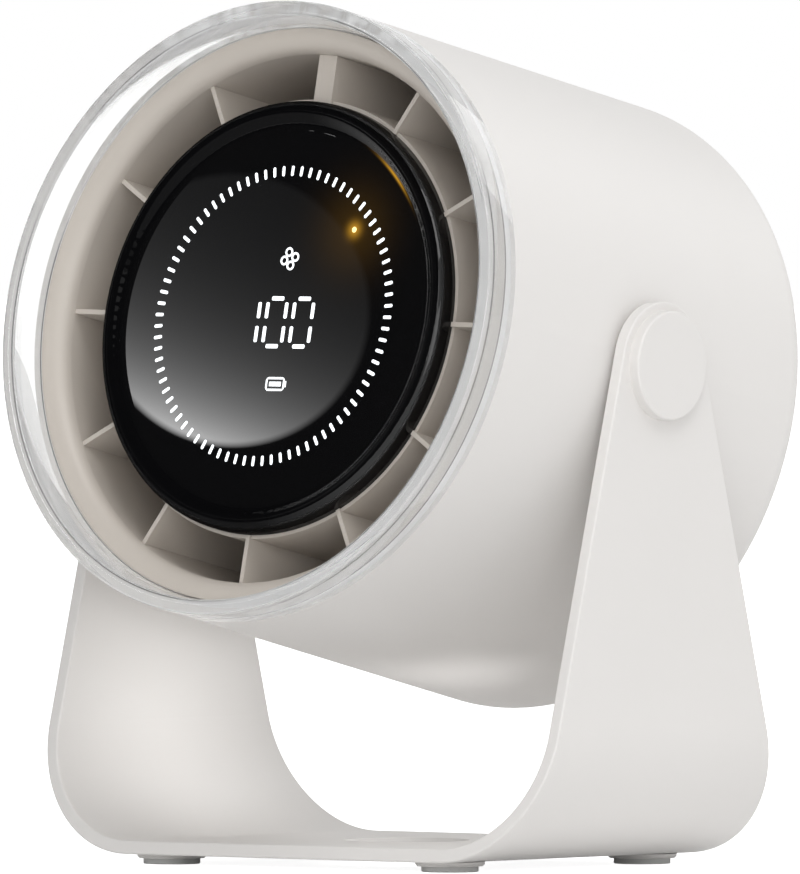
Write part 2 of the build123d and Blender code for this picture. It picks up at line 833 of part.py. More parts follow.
def symbols():
    """The lit figures, drawn into the open sketch: a fan, the speed and a battery."""
    with Locations(*digit_places):
        with GridLocations(2 * upright_offset, 2 * upright_rise, 2, 2):
            RectangleRounded(stroke_width, upright_stroke, stroke_corner)
        with GridLocations(0, 2 * stroke_rise, 1, 2):
            RectangleRounded(level_stroke, stroke_width, stroke_corner)
    with Locations(one_place):
        with GridLocations(0, 2 * upright_rise, 1, 2):
            RectangleRounded(stroke_width, upright_stroke, stroke_corner)
    with Locations((fan_icon_x, fan_icon_y)):
        with PolarLocations(fan_icon_reach, fan_icon_petals, start_angle=fan_icon_turn):
            Circle(fan_icon_petal_radius)
        with PolarLocations(fan_icon_reach, fan_icon_petals, start_angle=fan_icon_turn):
            Circle(fan_icon_petal_radius - icon_line, mode=Mode.SUBTRACT)
    with Locations((symbol_x, battery_icon_y)):
        RectangleRounded(battery_icon_length, battery_icon_height, battery_icon_corner)
        Rectangle(
            battery_icon_length - 2 * icon_line,
            battery_icon_height - 2 * icon_line,
            mode=Mode.SUBTRACT,
        )
        Rectangle(battery_bar_length, battery_bar_height)
    with Locations((symbol_x + battery_icon_length / 2, battery_icon_y)):
        Rectangle(
            battery_tip_length, battery_tip_height, align=(Align.MIN, Align.CENTER)
        )


with BuildPart() as display_lens:
    with BuildSketch(turning):
        with BuildLine():
            Spline(
                section(lens_face_radius, lens_face_depth),
                section(lens_crest_radius, lens_crest_depth),
                section(lens_radius, lens_shoulder_depth),
                tangents=((1, 0), (0, -1)),
            )
            Polyline(
                section(lens_radius, lens_shoulder_depth),
                section(lens_radius, hub_front_depth),
                section(lens_skirt_radius, hub_front_depth),
                section(lens_skirt_radius, lens_back_depth),
                section(0, lens_back_depth),
                section(0, lens_face_depth),
                section(lens_face_radius, lens_face_depth),
            )
        make_face()
    revolve(axis=barrel_axis)
    with BuildSketch(across(lens_back_depth)):
        with PolarLocations(tick_radius, tick_count):
            SlotOverall(tick_length, tick_width)
        with Locations(status_place):
            Circle(status_radius)
        symbols()
    extrude(amount=lens_thickness, mode=Mode.SUBTRACT)
save(display_lens, "display_lens")

with BuildPart() as tick_light_ring:
    with BuildSketch(across(guide_back_depth)):
        Circle(tick_radius + light_guide_width / 2)
        Circle(tick_radius - light_guide_width / 2, mode=Mode.SUBTRACT)
    extrude(amount=light_guide_thickness)
    with BuildSketch(across(lens_back_depth)):
        with PolarLocations(tick_radius, tick_count):
            SlotOverall(tick_length, tick_width)
    extrude(amount=lens_back_depth - mark_depth)
save(tick_light_ring, "tick_light_ring")

with BuildPart() as symbol_light_guide:
    with BuildSketch(across(guide_back_depth)):
        with Locations((symbol_x, symbol_y)):
            Circle(symbol_plate_radius)
    extrude(amount=light_guide_thickness)
    with BuildSketch(across(lens_back_depth)):
        symbols()
    extrude(amount=lens_back_depth - mark_depth)
save(symbol_light_guide, "symbol_light_guide")

with BuildPart() as status_light:
    with BuildSketch(across(guide_back_depth)):
        with Locations(status_place):
            Circle(status_flange_radius)
    extrude(amount=light_guide_thickness)
    with BuildSketch(across(lens_back_depth)):
        with Locations(status_place):
            Circle(status_radius)
    extrude(amount=lens_back_depth - mark_depth)
save(status_light, "status_light")

with BuildPart() as display_frame:
    with BuildSketch(turning):
        with BuildLine():
            Polyline(
                section(frame_inner_radius, hub_front_depth),
                section(frame_radius, hub_front_depth),
                section(frame_radius, display_board_rear + display_ledge_thickness),
                section(
                    frame_inner_radius - display_ledge,
                    display_board_rear + display_ledge_thickness,
                ),
                section(frame_inner_radius - display_ledge, display_board_rear),
                section(frame_inner_radius, display_board_rear),
                close=True,
            )
        make_face()
    revolve(axis=barrel_axis)
save(display_frame, "display_frame")

with BuildPart() as display_board:
    with BuildSketch(across(display_board_rear)):
        Circle(frame_inner_radius - display_board_gap)
    extrude(amount=board_thickness)
save(display_board, "display_board")

with BuildPart() as display_leds:
    with BuildSketch(across(display_board_depth)):
        with PolarLocations(tick_radius, ring_led_count):
            Rectangle(led_width, led_length)
        with Locations((symbol_x, symbol_y)):
            with GridLocations(
                symbol_led_pitch, symbol_led_pitch, symbol_led_columns, symbol_led_rows
            ):
                Rectangle(led_length, led_width)
        with Locations(status_place):
            Rectangle(led_length, led_width)
    extrude(amount=led_height)
save(display_leds, "display_leds")

with BuildPart() as display_ribbon:
    with BuildSketch(across(control_board_depth)):
        with Locations((0, ribbon_y)):
            Rectangle(ribbon_width, ribbon_thickness)
    extrude(amount=control_board_depth - display_board_rear)
save(display_ribbon, "display_ribbon")

# ------------------------------------------------------------------ battery and control board

cell_ends = cell_length / 2
tray_wall_x = cell_ends + tab_thickness + 2 * snug_gap

with BuildPart() as battery_cells:
    with BuildSketch(beside(1, -cell_ends)):
        for row in (-1, 1):
            place = rim_centre - forward * cell_depth + upward * (row * cell_pitch / 2)
            with Locations((place.Y - stand_y, place.Z - tilt_axis_height)):
                Circle(cell_radius)
    extrude(amount=cell_length)
    cell_rims = battery_cells.faces().filter_by(Axis.X).edges()
    fillet(cell_rims, cell_edge_radius)
save(battery_cells, "battery_cells")

with BuildPart() as battery_tabs:
    for side, _ in sides:
        with BuildSketch(across(cell_depth + tab_width / 2)):
            with Locations((side * (cell_ends + tab_thickness / 2), 0)):
                Rectangle(tab_thickness, tab_length)
        extrude(amount=tab_width)
save(battery_tabs, "battery_tabs")

with BuildPart() as battery_tray:
    with BuildSketch(across(tray_rear)):
        Circle(tray_radius)
        with Locations((0, ribbon_y)):
            Rectangle(
                ribbon_width + 2 * ribbon_gap,
                ribbon_thickness + 2 * ribbon_gap,
                mode=Mode.SUBTRACT,
            )
        with Locations((wire_vane_x, harness_y)):
            Circle(harness_hole_radius, mode=Mode.SUBTRACT)
    extrude(amount=tray_thickness)
    with BuildSketch(across(tray_depth)):
        for side, _ in sides:
            with Locations((side * (tray_wall_x + tray_wall / 2), 0)):
                Rectangle(tray_wall, tray_wall_width)
    extrude(amount=tray_wall_height)
    with BuildSketch(across(control_board_depth)):
        with PolarLocations(tray_foot_circle, tray_foot_count):
            Circle(tray_foot_radius)
    extrude(amount=control_board_depth - tray_rear)
save(battery_tray, "battery_tray")

with BuildPart() as control_board:
    with BuildSketch(across(control_board_rear)):
        Circle(control_board_radius)
        with PolarLocations(board_post_circle, board_post_count, start_angle=board_post_turn):
            Circle(small_screw_radius + screw_clearance, mode=Mode.SUBTRACT)
    extrude(amount=board_thickness)
save(control_board, "control_board")

with BuildPart() as board_components:
    with BuildSketch(across(control_board_depth)):
        for x, y, width, height in components:
            with Locations((x, y)):
                Rectangle(width, height)
    extrude(amount=component_height)
save(board_components, "board_components")

with BuildPart() as board_screws:
    with BuildSketch(across(control_board_depth)):
        with PolarLocations(board_post_circle, board_post_count, start_angle=board_post_turn):
            Circle(small_head_radius)
    extrude(amount=small_head_height)
    with BuildSketch(across(control_board_depth)):
        with PolarLocations(board_post_circle, board_post_count, start_angle=board_post_turn):
            Circle(small_screw_radius)
    extrude(amount=control_board_depth - hub_wall_front)
save(board_screws, "board_screws")

# ------------------------------------------------------------------ the motor

flange_rear = hub_tail_depth + motor_flange
tube_outer_radius = bearing_radius + tube_wall
stator_rear_depth = stator_front_depth + stator_length
stator_ring_radius = tube_outer_radius + stator_ring_wall
shoe_radius = stator_radius - shoe_wall

with BuildPart() as motor_base:
    with BuildSketch(across(flange_rear)):
        Circle(motor_flange_radius)
        with PolarLocations(motor_screw_circle, motor_screw_count, start_angle=motor_screw_turn):
            Circle(small_screw_radius, mode=Mode.SUBTRACT)
        with Locations((0, lead_y)):
            Circle(lead_radius + screw_clearance, mode=Mode.SUBTRACT)
    extrude(amount=motor_flange)
    with BuildSketch(across(tube_end_depth)):
        Circle(tube_outer_radius)
        Circle(bearing_radius, mode=Mode.SUBTRACT)
    extrude(amount=tube_end_depth - flange_rear)
save(motor_base, "motor_base")

with BuildPart() as motor_screws:
    with BuildSketch(across(hub_wall_front)):
        with PolarLocations(motor_screw_circle, motor_screw_count, start_angle=motor_screw_turn):
            Circle(small_head_radius)
    extrude(amount=small_head_height)
    with BuildSketch(across(flange_rear)):
        with PolarLocations(motor_screw_circle, motor_screw_count, start_angle=motor_screw_turn):
            Circle(small_screw_radius)
    extrude(amount=flange_rear - hub_wall_front)
save(motor_screws, "motor_screws")

with BuildPart() as motor_bearings:
    for bearing_depth in (bearing_first_depth, bearing_second_depth):
        with BuildSketch(across(bearing_depth + bearing_width)):
            Circle(bearing_radius)
            Circle(shaft_radius + running_gap, mode=Mode.SUBTRACT)
        extrude(amount=bearing_width)
save(motor_bearings, "motor_bearings")

with BuildPart() as stator_core:
    with BuildSketch(across(stator_rear_depth)):
        with PolarLocations((tube_outer_radius + stator_radius) / 2, stator_slots):
            Rectangle(stator_radius - tube_outer_radius, tooth_width)
        with PolarLocations(stator_radius - shoe_wall / 2, stator_slots):
            Rectangle(2 * shoe_wall, shoe_width)
        Circle(stator_radius, mode=Mode.INTERSECT)
        Circle(stator_ring_radius)
        Circle(tube_outer_radius, mode=Mode.SUBTRACT)
    extrude(amount=stator_length)
save(stator_core, "stator_core")

with BuildPart() as stator_coils:
    coil_inner = stator_ring_radius + coil_gap
    coil_outer = shoe_radius - shoe_wall / 2 - coil_gap
    coil_middle = (coil_inner + coil_outer) / 2
    coil_length = coil_outer - coil_inner
    with BuildSketch(across(stator_rear_depth + coil_thickness)):
        with PolarLocations(coil_middle, stator_slots):
            Rectangle(coil_length, tooth_width + 2 * coil_thickness)
    extrude(amount=stator_length + 2 * coil_thickness)
    with BuildSketch(across(stator_rear_depth)):
        with PolarLocations(coil_middle, stator_slots):
            Rectangle(2 * coil_length, tooth_width)
    extrude(amount=stator_length, mode=Mode.SUBTRACT)
save(stator_coils, "stator_coils")

with BuildPart() as motor_leads:
    with BuildSketch(across(lead_end_depth)):
        with Locations((0, lead_y)):
            Circle(lead_radius)
    extrude(amount=lead_end_depth - control_board_rear)
save(motor_leads, "motor_leads")

with BuildPart() as rotor_can:
    with BuildSketch(across(can_rear_depth)):
        Circle(can_radius)
        Circle(shaft_radius, mode=Mode.SUBTRACT)
    extrude(amount=can_rear_depth - can_front_depth)
    with BuildSketch(across(can_rear_depth - can_wall)):
        Circle(can_inner_radius)
    extrude(amount=can_rear_depth - can_front_depth, mode=Mode.SUBTRACT)
    with BuildSketch(across(can_rear_depth)):
        Circle(can_boss_radius)
        Circle(shaft_radius, mode=Mode.SUBTRACT)
    extrude(amount=-can_boss_length)
save(rotor_can, "rotor_can")

with BuildPart() as rotor_magnets:
    with BuildSketch(across(magnet_front_depth + magnet_length)):
        with PolarLocations(can_inner_radius, magnet_count):
            Rectangle(3 * magnet_thickness, magnet_width)
        Circle(can_inner_radius, mode=Mode.INTERSECT)
        Circle(can_inner_radius - magnet_thickness, mode=Mode.SUBTRACT)
    extrude(amount=magnet_length)
save(rotor_magnets, "rotor_magnets")

with BuildPart() as motor_shaft:
    with BuildSketch(across(can_rear_depth + can_boss_length)):
        Circle(shaft_radius)
    extrude(amount=can_rear_depth + can_boss_length - shaft_front_depth)
save(motor_shaft, "motor_shaft")

# ------------------------------------------------------------------ the impeller

impeller_inner_radius = impeller_hub_radius - impeller_wall
impeller_inner_tail = impeller_tail_depth - impeller_wall
dome_radius = (impeller_hub_radius**2 + impeller_dome_length**2) / (2 * impeller_dome_length)
dome_inner_radius = dome_radius - impeller_wall
dome_centre_depth = impeller_tail_depth - dome_radius
inner_shoulder_depth = dome_centre_depth + sqrt(dome_inner_radius**2 - impeller_inner_radius**2)
socket_radius = can_radius + impeller_socket_wall
socket_foot = impeller_tail_depth - impeller_socket_sink

with BuildPart() as impeller_hub:
    with BuildSketch(turning):
        with BuildLine():
            RadiusArc(
                section(impeller_hub_radius, impeller_shoulder_depth),
                section(0, impeller_tail_depth),
                dome_radius,
            )
            Line(section(0, impeller_tail_depth), section(0, impeller_inner_tail))
            RadiusArc(
                section(0, impeller_inner_tail),
                section(impeller_inner_radius, inner_shoulder_depth),
                -dome_inner_radius,
            )
            Polyline(
                section(impeller_inner_radius, inner_shoulder_depth),
                section(impeller_inner_radius, impeller_front_depth),
                section(impeller_hub_radius, impeller_front_depth),
                section(impeller_hub_radius, impeller_shoulder_depth),
            )
        make_face()
    revolve(axis=barrel_axis)
    # a socket for the rotor can, with a web behind it
    with BuildSketch(across(socket_foot)):
        Circle(socket_radius)
        Circle(can_radius, mode=Mode.SUBTRACT)
    extrude(amount=socket_foot - impeller_socket_depth)
    with BuildSketch(across(can_rear_depth + impeller_web)):
        Circle(socket_radius)
        Circle(can_boss_radius, mode=Mode.SUBTRACT)
    extrude(amount=impeller_web)
save(impeller_hub, "impeller_hub")

with BuildPart() as impeller_blades:
    # twisted blades, drawn too long at both ends
    for blade in range(blade_count):
        turn = blade * 360 / blade_count
        with BuildSketch(out_from_axis(turn, impeller_hub_radius - blade_overrun, blade_depth)):
            SlotOverall(blade_root_chord, blade_thickness, rotation=blade_root_angle)
        with BuildSketch(out_from_axis(turn, impeller_radius + blade_overrun, blade_depth)):
            SlotOverall(blade_tip_chord, blade_thickness, rotation=blade_tip_angle)
        loft()
    # trimmed to a round tip, and at the root to the hub
    with BuildSketch(across(impeller_tail_depth)):
        Circle(impeller_radius)
    extrude(amount=impeller_tail_depth - impeller_front_depth, mode=Mode.INTERSECT)
    with BuildSketch(turning):
        with BuildLine():
            RadiusArc(
                section(impeller_hub_radius, impeller_shoulder_depth),
                section(0, impeller_tail_depth),
                dome_radius,
            )
            Polyline(
                section(0, impeller_tail_depth),
                section(0, impeller_front_depth),
                section(impeller_hub_radius, impeller_front_depth),
                section(impeller_hub_radius, impeller_shoulder_depth),
            )
        make_face()
    revolve(axis=barrel_axis, mode=Mode.SUBTRACT)
save(impeller_blades, "impeller_blades")

# ------------------------------------------------------------------ rear grille and dial

grille_outer_radius = shell_inner_radius - 3 * grille_fit
grille_edge_radius = rear_opening_radius - grille_fit
ring_span = grille_edge_radius - grille_bar_width - well_outer_radius
grille_ring_count = int(ring_span // grille_ring_pitch)
rib_length = grille_edge_radius - grille_bar_width / 2 - well_radius

with BuildPart() as rear_grille:
    with BuildSketch(across(grille_flange_rear)):
        Circle(grille_outer_radius)
        Circle(grille_edge_radius - grille_bar_width, mode=Mode.SUBTRACT)
        with PolarLocations(rear_screw_circle, rear_screw_count, start_angle=rear_screw_turn):
            Circle(small_screw_radius + screw_clearance, mode=Mode.SUBTRACT)
        with Locations((0, usb_y)):
            RectangleRounded(
                usb_width + 2 * usb_slot_gap,
                usb_height + 2 * usb_slot_gap,
                usb_corner,
                mode=Mode.SUBTRACT,
            )
    extrude(amount=grille_flange)
    with BuildSketch(across(grille_rear)):
        for ring in range(1, grille_ring_count + 1):
            with BuildSketch(mode=Mode.PRIVATE) as bar:
                Circle(well_outer_radius + ring * grille_ring_pitch)
                Circle(
                    well_outer_radius + ring * grille_ring_pitch - grille_bar_width,
                    mode=Mode.SUBTRACT,
                )
            add(bar.sketch)
        with PolarLocations(well_radius + rib_length / 2, grille_rib_count):
            Rectangle(rib_length, grille_bar_width)
    extrude(amount=grille_bar_depth)
    with BuildSketch(across(grille_rear)):
        Circle(grille_edge_radius)
        Circle(grille_edge_radius - grille_bar_width, mode=Mode.SUBTRACT)
    extrude(amount=grille_rear - grille_flange_front)
    # the well of the dial, with a hole in its floor for the encoder
    with BuildSketch(across(grille_rear)):
        Circle(well_outer_radius)
    extrude(amount=grille_rear - well_floor_front)
    with BuildSketch(across(grille_rear)):
        Circle(well_radius)
    extrude(amount=grille_rear - grille_flange_front, mode=Mode.SUBTRACT)
    with BuildSketch(across(grille_flange_front)):
        Circle(encoder_bush_radius + snug_gap)
    extrude(amount=dial_well_floor, mode=Mode.SUBTRACT)
    # posts for the charging socket's board
    with BuildSketch(across(grille_flange_front)):
        with Locations((0, usb_y)):
            with GridLocations(2 * usb_post_x, 0, 2, 1):
                Circle(usb_post_radius)
    extrude(amount=grille_flange_front - usb_front_depth)
save(rear_grille, "rear_grille")

with BuildPart() as rear_screws:
    with BuildSketch(across(barrel_length)):
        with PolarLocations(rear_screw_circle, rear_screw_count, start_angle=rear_screw_turn):
            Circle(small_head_radius)
    extrude(amount=small_head_height)
    with BuildSketch(across(barrel_length - small_head_height)):
        with PolarLocations(rear_screw_circle, rear_screw_count, start_angle=rear_screw_turn):
            Circle(small_screw_radius)
    extrude(amount=barrel_length - small_head_height - grille_flange_front + rear_screw_grip)
    with BuildSketch(across(barrel_length)):
        with PolarLocations(rear_screw_circle, rear_screw_count, start_angle=rear_screw_turn):
            Rectangle(cross_length, cross_width)
            Rectangle(cross_width, cross_length)
    extrude(amount=cross_depth, mode=Mode.SUBTRACT)
save(rear_screws, "rear_screws")

with BuildPart() as dial_board:
    with BuildSketch(across(dial_board_rear)):
        Rectangle(dial_board_size, dial_board_size)
    extrude(amount=board_thickness)
save(dial_board, "dial_board")

plunger_rear_depth = shaft_end_depth
plunger_front_depth = plunger_rear_depth - plunger_length

with BuildPart() as encoder_body:
    with BuildSketch(across(well_floor_front)):
        Rectangle(encoder_size, encoder_size)
    extrude(amount=encoder_length)
    with BuildSketch(across(bush_end_depth)):
        Circle(encoder_bush_radius)
    extrude(amount=encoder_bush_length)
    with BuildSketch(across(bush_end_depth)):
        Circle(dial_shaft_radius + running_gap)
    extrude(
        amount=bush_end_depth - shaft_end_depth + dial_travel + plunger_gap,
        mode=Mode.SUBTRACT,
    )
    with BuildSketch(across(bush_end_depth)):
        Circle(plunger_radius + running_gap)
    extrude(
        amount=bush_end_depth - plunger_front_depth + dial_travel + plunger_gap,
        mode=Mode.SUBTRACT,
    )
save(encoder_body, "encoder_body")

with BuildPart() as press_plunger:
    with BuildSketch(across(plunger_rear_depth)):
        Circle(plunger_radius)
    extrude(amount=plunger_length)
save(press_plunger, "press_plunger")

with BuildPart() as dial_shaft:
    with BuildSketch(across(dial_roof)):
        Circle(dial_shaft_radius)
    extrude(amount=dial_roof - shaft_end_depth)
    with BuildSketch(across(dial_roof)):
        with Locations((0, dial_shaft_flat)):
            Rectangle(
                2 * dial_shaft_radius, dial_shaft_radius, align=(Align.CENTER, Align.MIN)
            )
    extrude(amount=dial_roof - dial_front, mode=Mode.SUBTRACT)
save(dial_shaft, "dial_shaft")

with BuildPart() as speed_dial:
    with BuildSketch(across(dial_rear)):
        Circle(dial_radius)
    extrude(amount=dial_rear - dial_front)
    rear_rim = speed_dial.edges().sort_by(Axis((0, 0, 0), forward))[0]
    fillet(rear_rim, dial_edge_radius)
    with BuildSketch(across(dial_rear)):
        with PolarLocations(dial_radius, dial_flutes):
            Circle(dial_flute_radius)
    extrude(amount=dial_rear - dial_front, mode=Mode.SUBTRACT)
    with BuildSketch(across(dial_roof)):
        Circle(dial_radius - dial_wall)
        Circle(dial_boss_radius, mode=Mode.SUBTRACT)
    extrude(amount=dial_roof - dial_front, mode=Mode.SUBTRACT)
    with BuildSketch(across(dial_roof)):
        Circle(dial_shaft_radius)
        with Locations((0, dial_shaft_flat)):
            Rectangle(
                2 * dial_shaft_radius,
                dial_shaft_radius,
                align=(Align.CENTER, Align.MIN),
                mode=Mode.SUBTRACT,
            )
    extrude(amount=dial_roof - dial_front, mode=Mode.SUBTRACT)
save(speed_dial, "speed_dial")

# ------------------------------------------------------------------ charging socket and wires

with BuildPart() as usb_board:
    with BuildSketch(across(usb_front_depth)):
        with Locations((0, usb_y)):
            Rectangle(usb_board_width, usb_board_height)
    extrude(amount=usb_board_thickness)
save(usb_board, "usb_board")

with BuildPart() as usb_socket:
    with BuildSketch(across(barrel_length - usb_inset)):
        with Locations((0, usb_y)):
            RectangleRounded(usb_width, usb_height, usb_corner)
    extrude(amount=usb_length)
    with BuildSketch(across(barrel_length - usb_inset)):
        with Locations((0, usb_y)):
            RectangleRounded(
                usb_width - 2 * usb_wall, usb_height - 2 * usb_wall, usb_corner - usb_wall
            )
            Rectangle(usb_tongue_width, usb_tongue_thickness, mode=Mode.SUBTRACT)
    extrude(amount=usb_length - usb_board_thickness, mode=Mode.SUBTRACT)
    with BuildSketch(across(barrel_length - usb_inset)):
        with Locations((0, usb_y)):
            Rectangle(usb_tongue_width, usb_tongue_thickness)
    extrude(amount=usb_tongue_inset, mode=Mode.SUBTRACT)
save(usb_socket, "usb_socket")

wire_depth = dial_board_rear - board_thickness / 2
board_edge = dial_board_size / 2

with BuildPart() as usb_leads:
    with BuildLine(lengthwise(0)) as usb_path:
        FilletPolyline(
            (usb_lead_y, -usb_board_depth),
            (usb_lead_y, -wire_depth),
            (-board_edge, -wire_depth),
            radius=usb_lead_bend,
        )
    with BuildSketch(Plane(origin=usb_path.line @ 0, z_dir=usb_path.line % 0)):
        Circle(usb_lead_radius)
    sweep()
save(usb_leads, "usb_leads")

with BuildPart() as wire_harness:
    with BuildLine(lengthwise(wire_vane_x)) as harness_path:
        FilletPolyline(
            (board_edge, -wire_depth),
            (harness_run_y, -wire_depth),
            (harness_run_y, -harness_depth),
            (harness_y, -harness_depth),
            (harness_y, -control_board_depth),
            radius=harness_bend,
        )
    with BuildSketch(Plane(origin=harness_path.line @ 0, z_dir=harness_path.line % 0)):
        Circle(harness_radius)
    sweep()
save(wire_harness, "wire_harness")
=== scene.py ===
# %% [markdown]
# # A desk air circulator, dressed for the camera
#
# The solids of this fan come from CAD: a bent U stand, a short barrel that tilts in it, a
# clear front ring, a duct with guide vanes, and a black display in the middle. This lesson
# loads those solids as a fixed frame, lights them as a product photographer would, and gives
# every surface a finish made from nodes. One piece, the clear ring, is turned again here with
# Blender's own operators, because clear plastic needs a finer mesh than the CAD hands over.

import json
from math import atan, cos, radians, sin

import bpy
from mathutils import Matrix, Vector


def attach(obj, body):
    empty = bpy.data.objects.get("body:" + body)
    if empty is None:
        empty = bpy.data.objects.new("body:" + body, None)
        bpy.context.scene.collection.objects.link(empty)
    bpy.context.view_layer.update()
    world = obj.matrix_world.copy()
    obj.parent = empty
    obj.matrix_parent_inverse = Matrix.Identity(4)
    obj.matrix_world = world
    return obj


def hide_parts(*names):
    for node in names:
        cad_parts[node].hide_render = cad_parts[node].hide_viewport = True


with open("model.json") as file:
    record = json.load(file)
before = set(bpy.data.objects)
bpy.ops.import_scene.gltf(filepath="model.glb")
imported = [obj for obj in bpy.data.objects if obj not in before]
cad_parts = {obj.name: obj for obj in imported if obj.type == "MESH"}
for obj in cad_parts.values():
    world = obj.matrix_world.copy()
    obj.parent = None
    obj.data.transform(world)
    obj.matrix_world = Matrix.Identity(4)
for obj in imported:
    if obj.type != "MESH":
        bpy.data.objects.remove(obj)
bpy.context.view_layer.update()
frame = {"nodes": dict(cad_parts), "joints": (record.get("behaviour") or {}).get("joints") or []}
nodes = frame["nodes"]

# %% [markdown]
# ## The barrel's own directions
#
# The barrel looks up by twelve degrees, so nothing on it lines up with the world. Every later
# step that touches the barrel needs two things: where the middle of the front rim is, and
# which way is forward along the barrel. They could be typed in, but the spinning rotor's joint
# already holds both, so they are read from the frame. The tilt's joint gives the point between
# the legs that the camera aims at.

# %% The barrel's directions
MM = 0.001

spin = next(joint for joint in frame["joints"] if joint["name"] == "rotor_spin")
tilt = next(joint for joint in frame["joints"] if joint["name"] == "head_tilt")
rim_centre = Vector(spin["pos_m"])
forward = Vector(spin["axis"]).normalized()
tilt_point = Vector(tilt["pos_m"])
print("front rim's centre:", tuple(round(v, 4) for v in rim_centre))
print("forward:", tuple(round(v, 4) for v in forward))

# %% [markdown]
# ## Camera
#
# A product picture like this one is taken from far off with a long lens, so the two edges of
# the barrel stay nearly parallel. The camera stands five metres away, a little under forty
# degrees round to the fan's left-hand side, and about level with the fan's top. Its lens is
# worked out from how many pixels one metre covers at the fan. The long side of the sensor
# spans the picture's height.

# %% Camera
IMAGE_HEIGHT = 874
PIXELS_PER_METRE = 5180.0
SENSOR_MM = 36.0
CAMERA_DISTANCE = 5.0
FARTHEST_SEEN = 20.0
camera_azimuth = radians(39.54)
camera_height = radians(1.10)
target = Vector((-0.00176, tilt_point.y, 0.08232))

towards_camera = Vector(
    (
        sin(camera_azimuth) * cos(camera_height),
        -cos(camera_azimuth) * cos(camera_height),
        sin(camera_height),
    )
)
bpy.ops.object.camera_add(location=target + towards_camera * CAMERA_DISTANCE)
camera = bpy.context.object
camera.name = "camera"
camera.rotation_euler = towards_camera.to_track_quat("Z", "Y").to_euler()
camera.data.sensor_fit = "AUTO"
camera.data.sensor_width = SENSOR_MM
camera.data.lens = SENSOR_MM * PIXELS_PER_METRE * CAMERA_DISTANCE / IMAGE_HEIGHT
camera.data.clip_end = FARTHEST_SEEN
bpy.context.scene.camera = camera
print("lens:", round(camera.data.lens, 1), "mm")

# %% [markdown]
# ## Floor
#
# The fan stands on a white sweep, so wide that its edge is never in the picture. It is a
# plane from the add menu. The frame's pieces are still selected after loading, and an operator
# acts on all that is selected, so a small helper lets go of everything first.

# %% Floor
FLOOR_SIZE = 12.0

scene = bpy.context.scene
scene.view_settings.view_transform = "Standard"


def deselect():
    """Nothing is selected, so the next operator acts only on what it adds."""
    if bpy.context.object and bpy.context.object.mode != "OBJECT":
        bpy.ops.object.mode_set(mode="OBJECT")
    bpy.ops.object.select_all(action="DESELECT")


deselect()
bpy.ops.mesh.primitive_plane_add(size=FLOOR_SIZE, location=(0, 0, 0))
floor = bpy.context.object
floor.name = "floor"
print("floor:", tuple(round(side, 1) for side in floor.dimensions), "m")

# %% [markdown]
# ## Materials as sums
#
# Most finishes need a little arithmetic: a pattern times a strength, plus a base value. Adding
# a Math node for each step buries the idea, so a small class wraps a socket and lets it be
# added to, multiplied, compared and raised to a power. Everything else, such as a noise or a
# ramp, comes from one method that takes the node's type, its settings and its inputs.

# %% The socket class
class Wire:
    """A socket in a sum: each operator adds a Math node and returns its result."""

    def __init__(self, graph, socket):
        self.graph = graph
        self.socket = socket

    def joined(self, operation, first, second):
        return self.graph.node(
            "ShaderNodeMath", {"operation": operation}, {0: first, 1: second}
        )

    def __add__(self, other):
        return self.joined("ADD", self, other)

    def __radd__(self, other):
        return self.joined("ADD", other, self)

    def __sub__(self, other):
        return self.joined("SUBTRACT", self, other)

    def __rsub__(self, other):
        return self.joined("SUBTRACT", other, self)

    def __mul__(self, other):
        return self.joined("MULTIPLY", self, other)

    def __rmul__(self, other):
        return self.joined("MULTIPLY", other, self)

    def __truediv__(self, other):
        return self.joined("DIVIDE", self, other)

    def __rtruediv__(self, other):
        return self.joined("DIVIDE", other, self)

    def __pow__(self, other):
        return self.joined("POWER", self, other)

    def __rpow__(self, other):
        return self.joined("POWER", other, self)

    def __lt__(self, other):
        return self.joined("LESS_THAN", self, other)

    def __gt__(self, other):
        return self.joined("GREATER_THAN", self, other)


# %% [markdown]
# ## Node trees
#
# The world and every material are trees of nodes, so both are filled by the same class. It
# empties the tree and then adds one node at a time: the settings go in first, because some of
# them, such as a blend's data type, change which sockets the node has.

# %% The tree class
def colour(level):
    """A grey level or three numbers, as the four that Blender wants."""
    if isinstance(level, (int, float)):
        return (level, level, level, 1.0)
    return (*level[:3], 1.0)


def fill_ramp(color_ramp, stops):
    """Writes a ramp's stops: pairs of a position and a grey level or a colour."""
    while len(color_ramp.elements) < len(stops):
        color_ramp.elements.new(1.0)
    for element, (position, level) in zip(color_ramp.elements, stops):
        element.position = position
        element.color = colour(level)


class Graph:
    """The nodes of the world or of a material, from empty."""

    def __init__(self, tree):
        self.tree = tree
        self.tree.nodes.clear()

    def put(self, socket, value):
        """A Wire is linked to the socket, and anything else is written on it."""
        if isinstance(value, Wire):
            self.tree.links.new(value.socket, socket)
        else:
            socket.default_value = value

    def node(self, kind, settings=None, inputs=None, out=0):
        """Adds a node and returns one of its outputs."""
        made = self.tree.nodes.new(kind)
        for name, value in (settings or {}).items():
            if name == "stops":
                fill_ramp(made.color_ramp, value)
            else:
                setattr(made, name, value)
        for name, value in (inputs or {}).items():
            self.put(made.inputs[name], value)
        return Wire(self, made.outputs[out])

    def outputs(self, wire):
        """All the outputs of the node that a wire comes from."""
        return [Wire(self, socket) for socket in wire.socket.node.outputs]


# %% [markdown]
# ## World
#
# A white studio has to look white to the camera, but at that strength it would also flatten
# the fan, because it lights it from everywhere. So the world has two levels. Rays that the
# camera sends, and those that a mirror or clear plastic passes on, find plain white, and the
# light that falls on the fan is half of that.

# %% World
SKY_LIGHT, SKY_SEEN = 0.5, 1.0


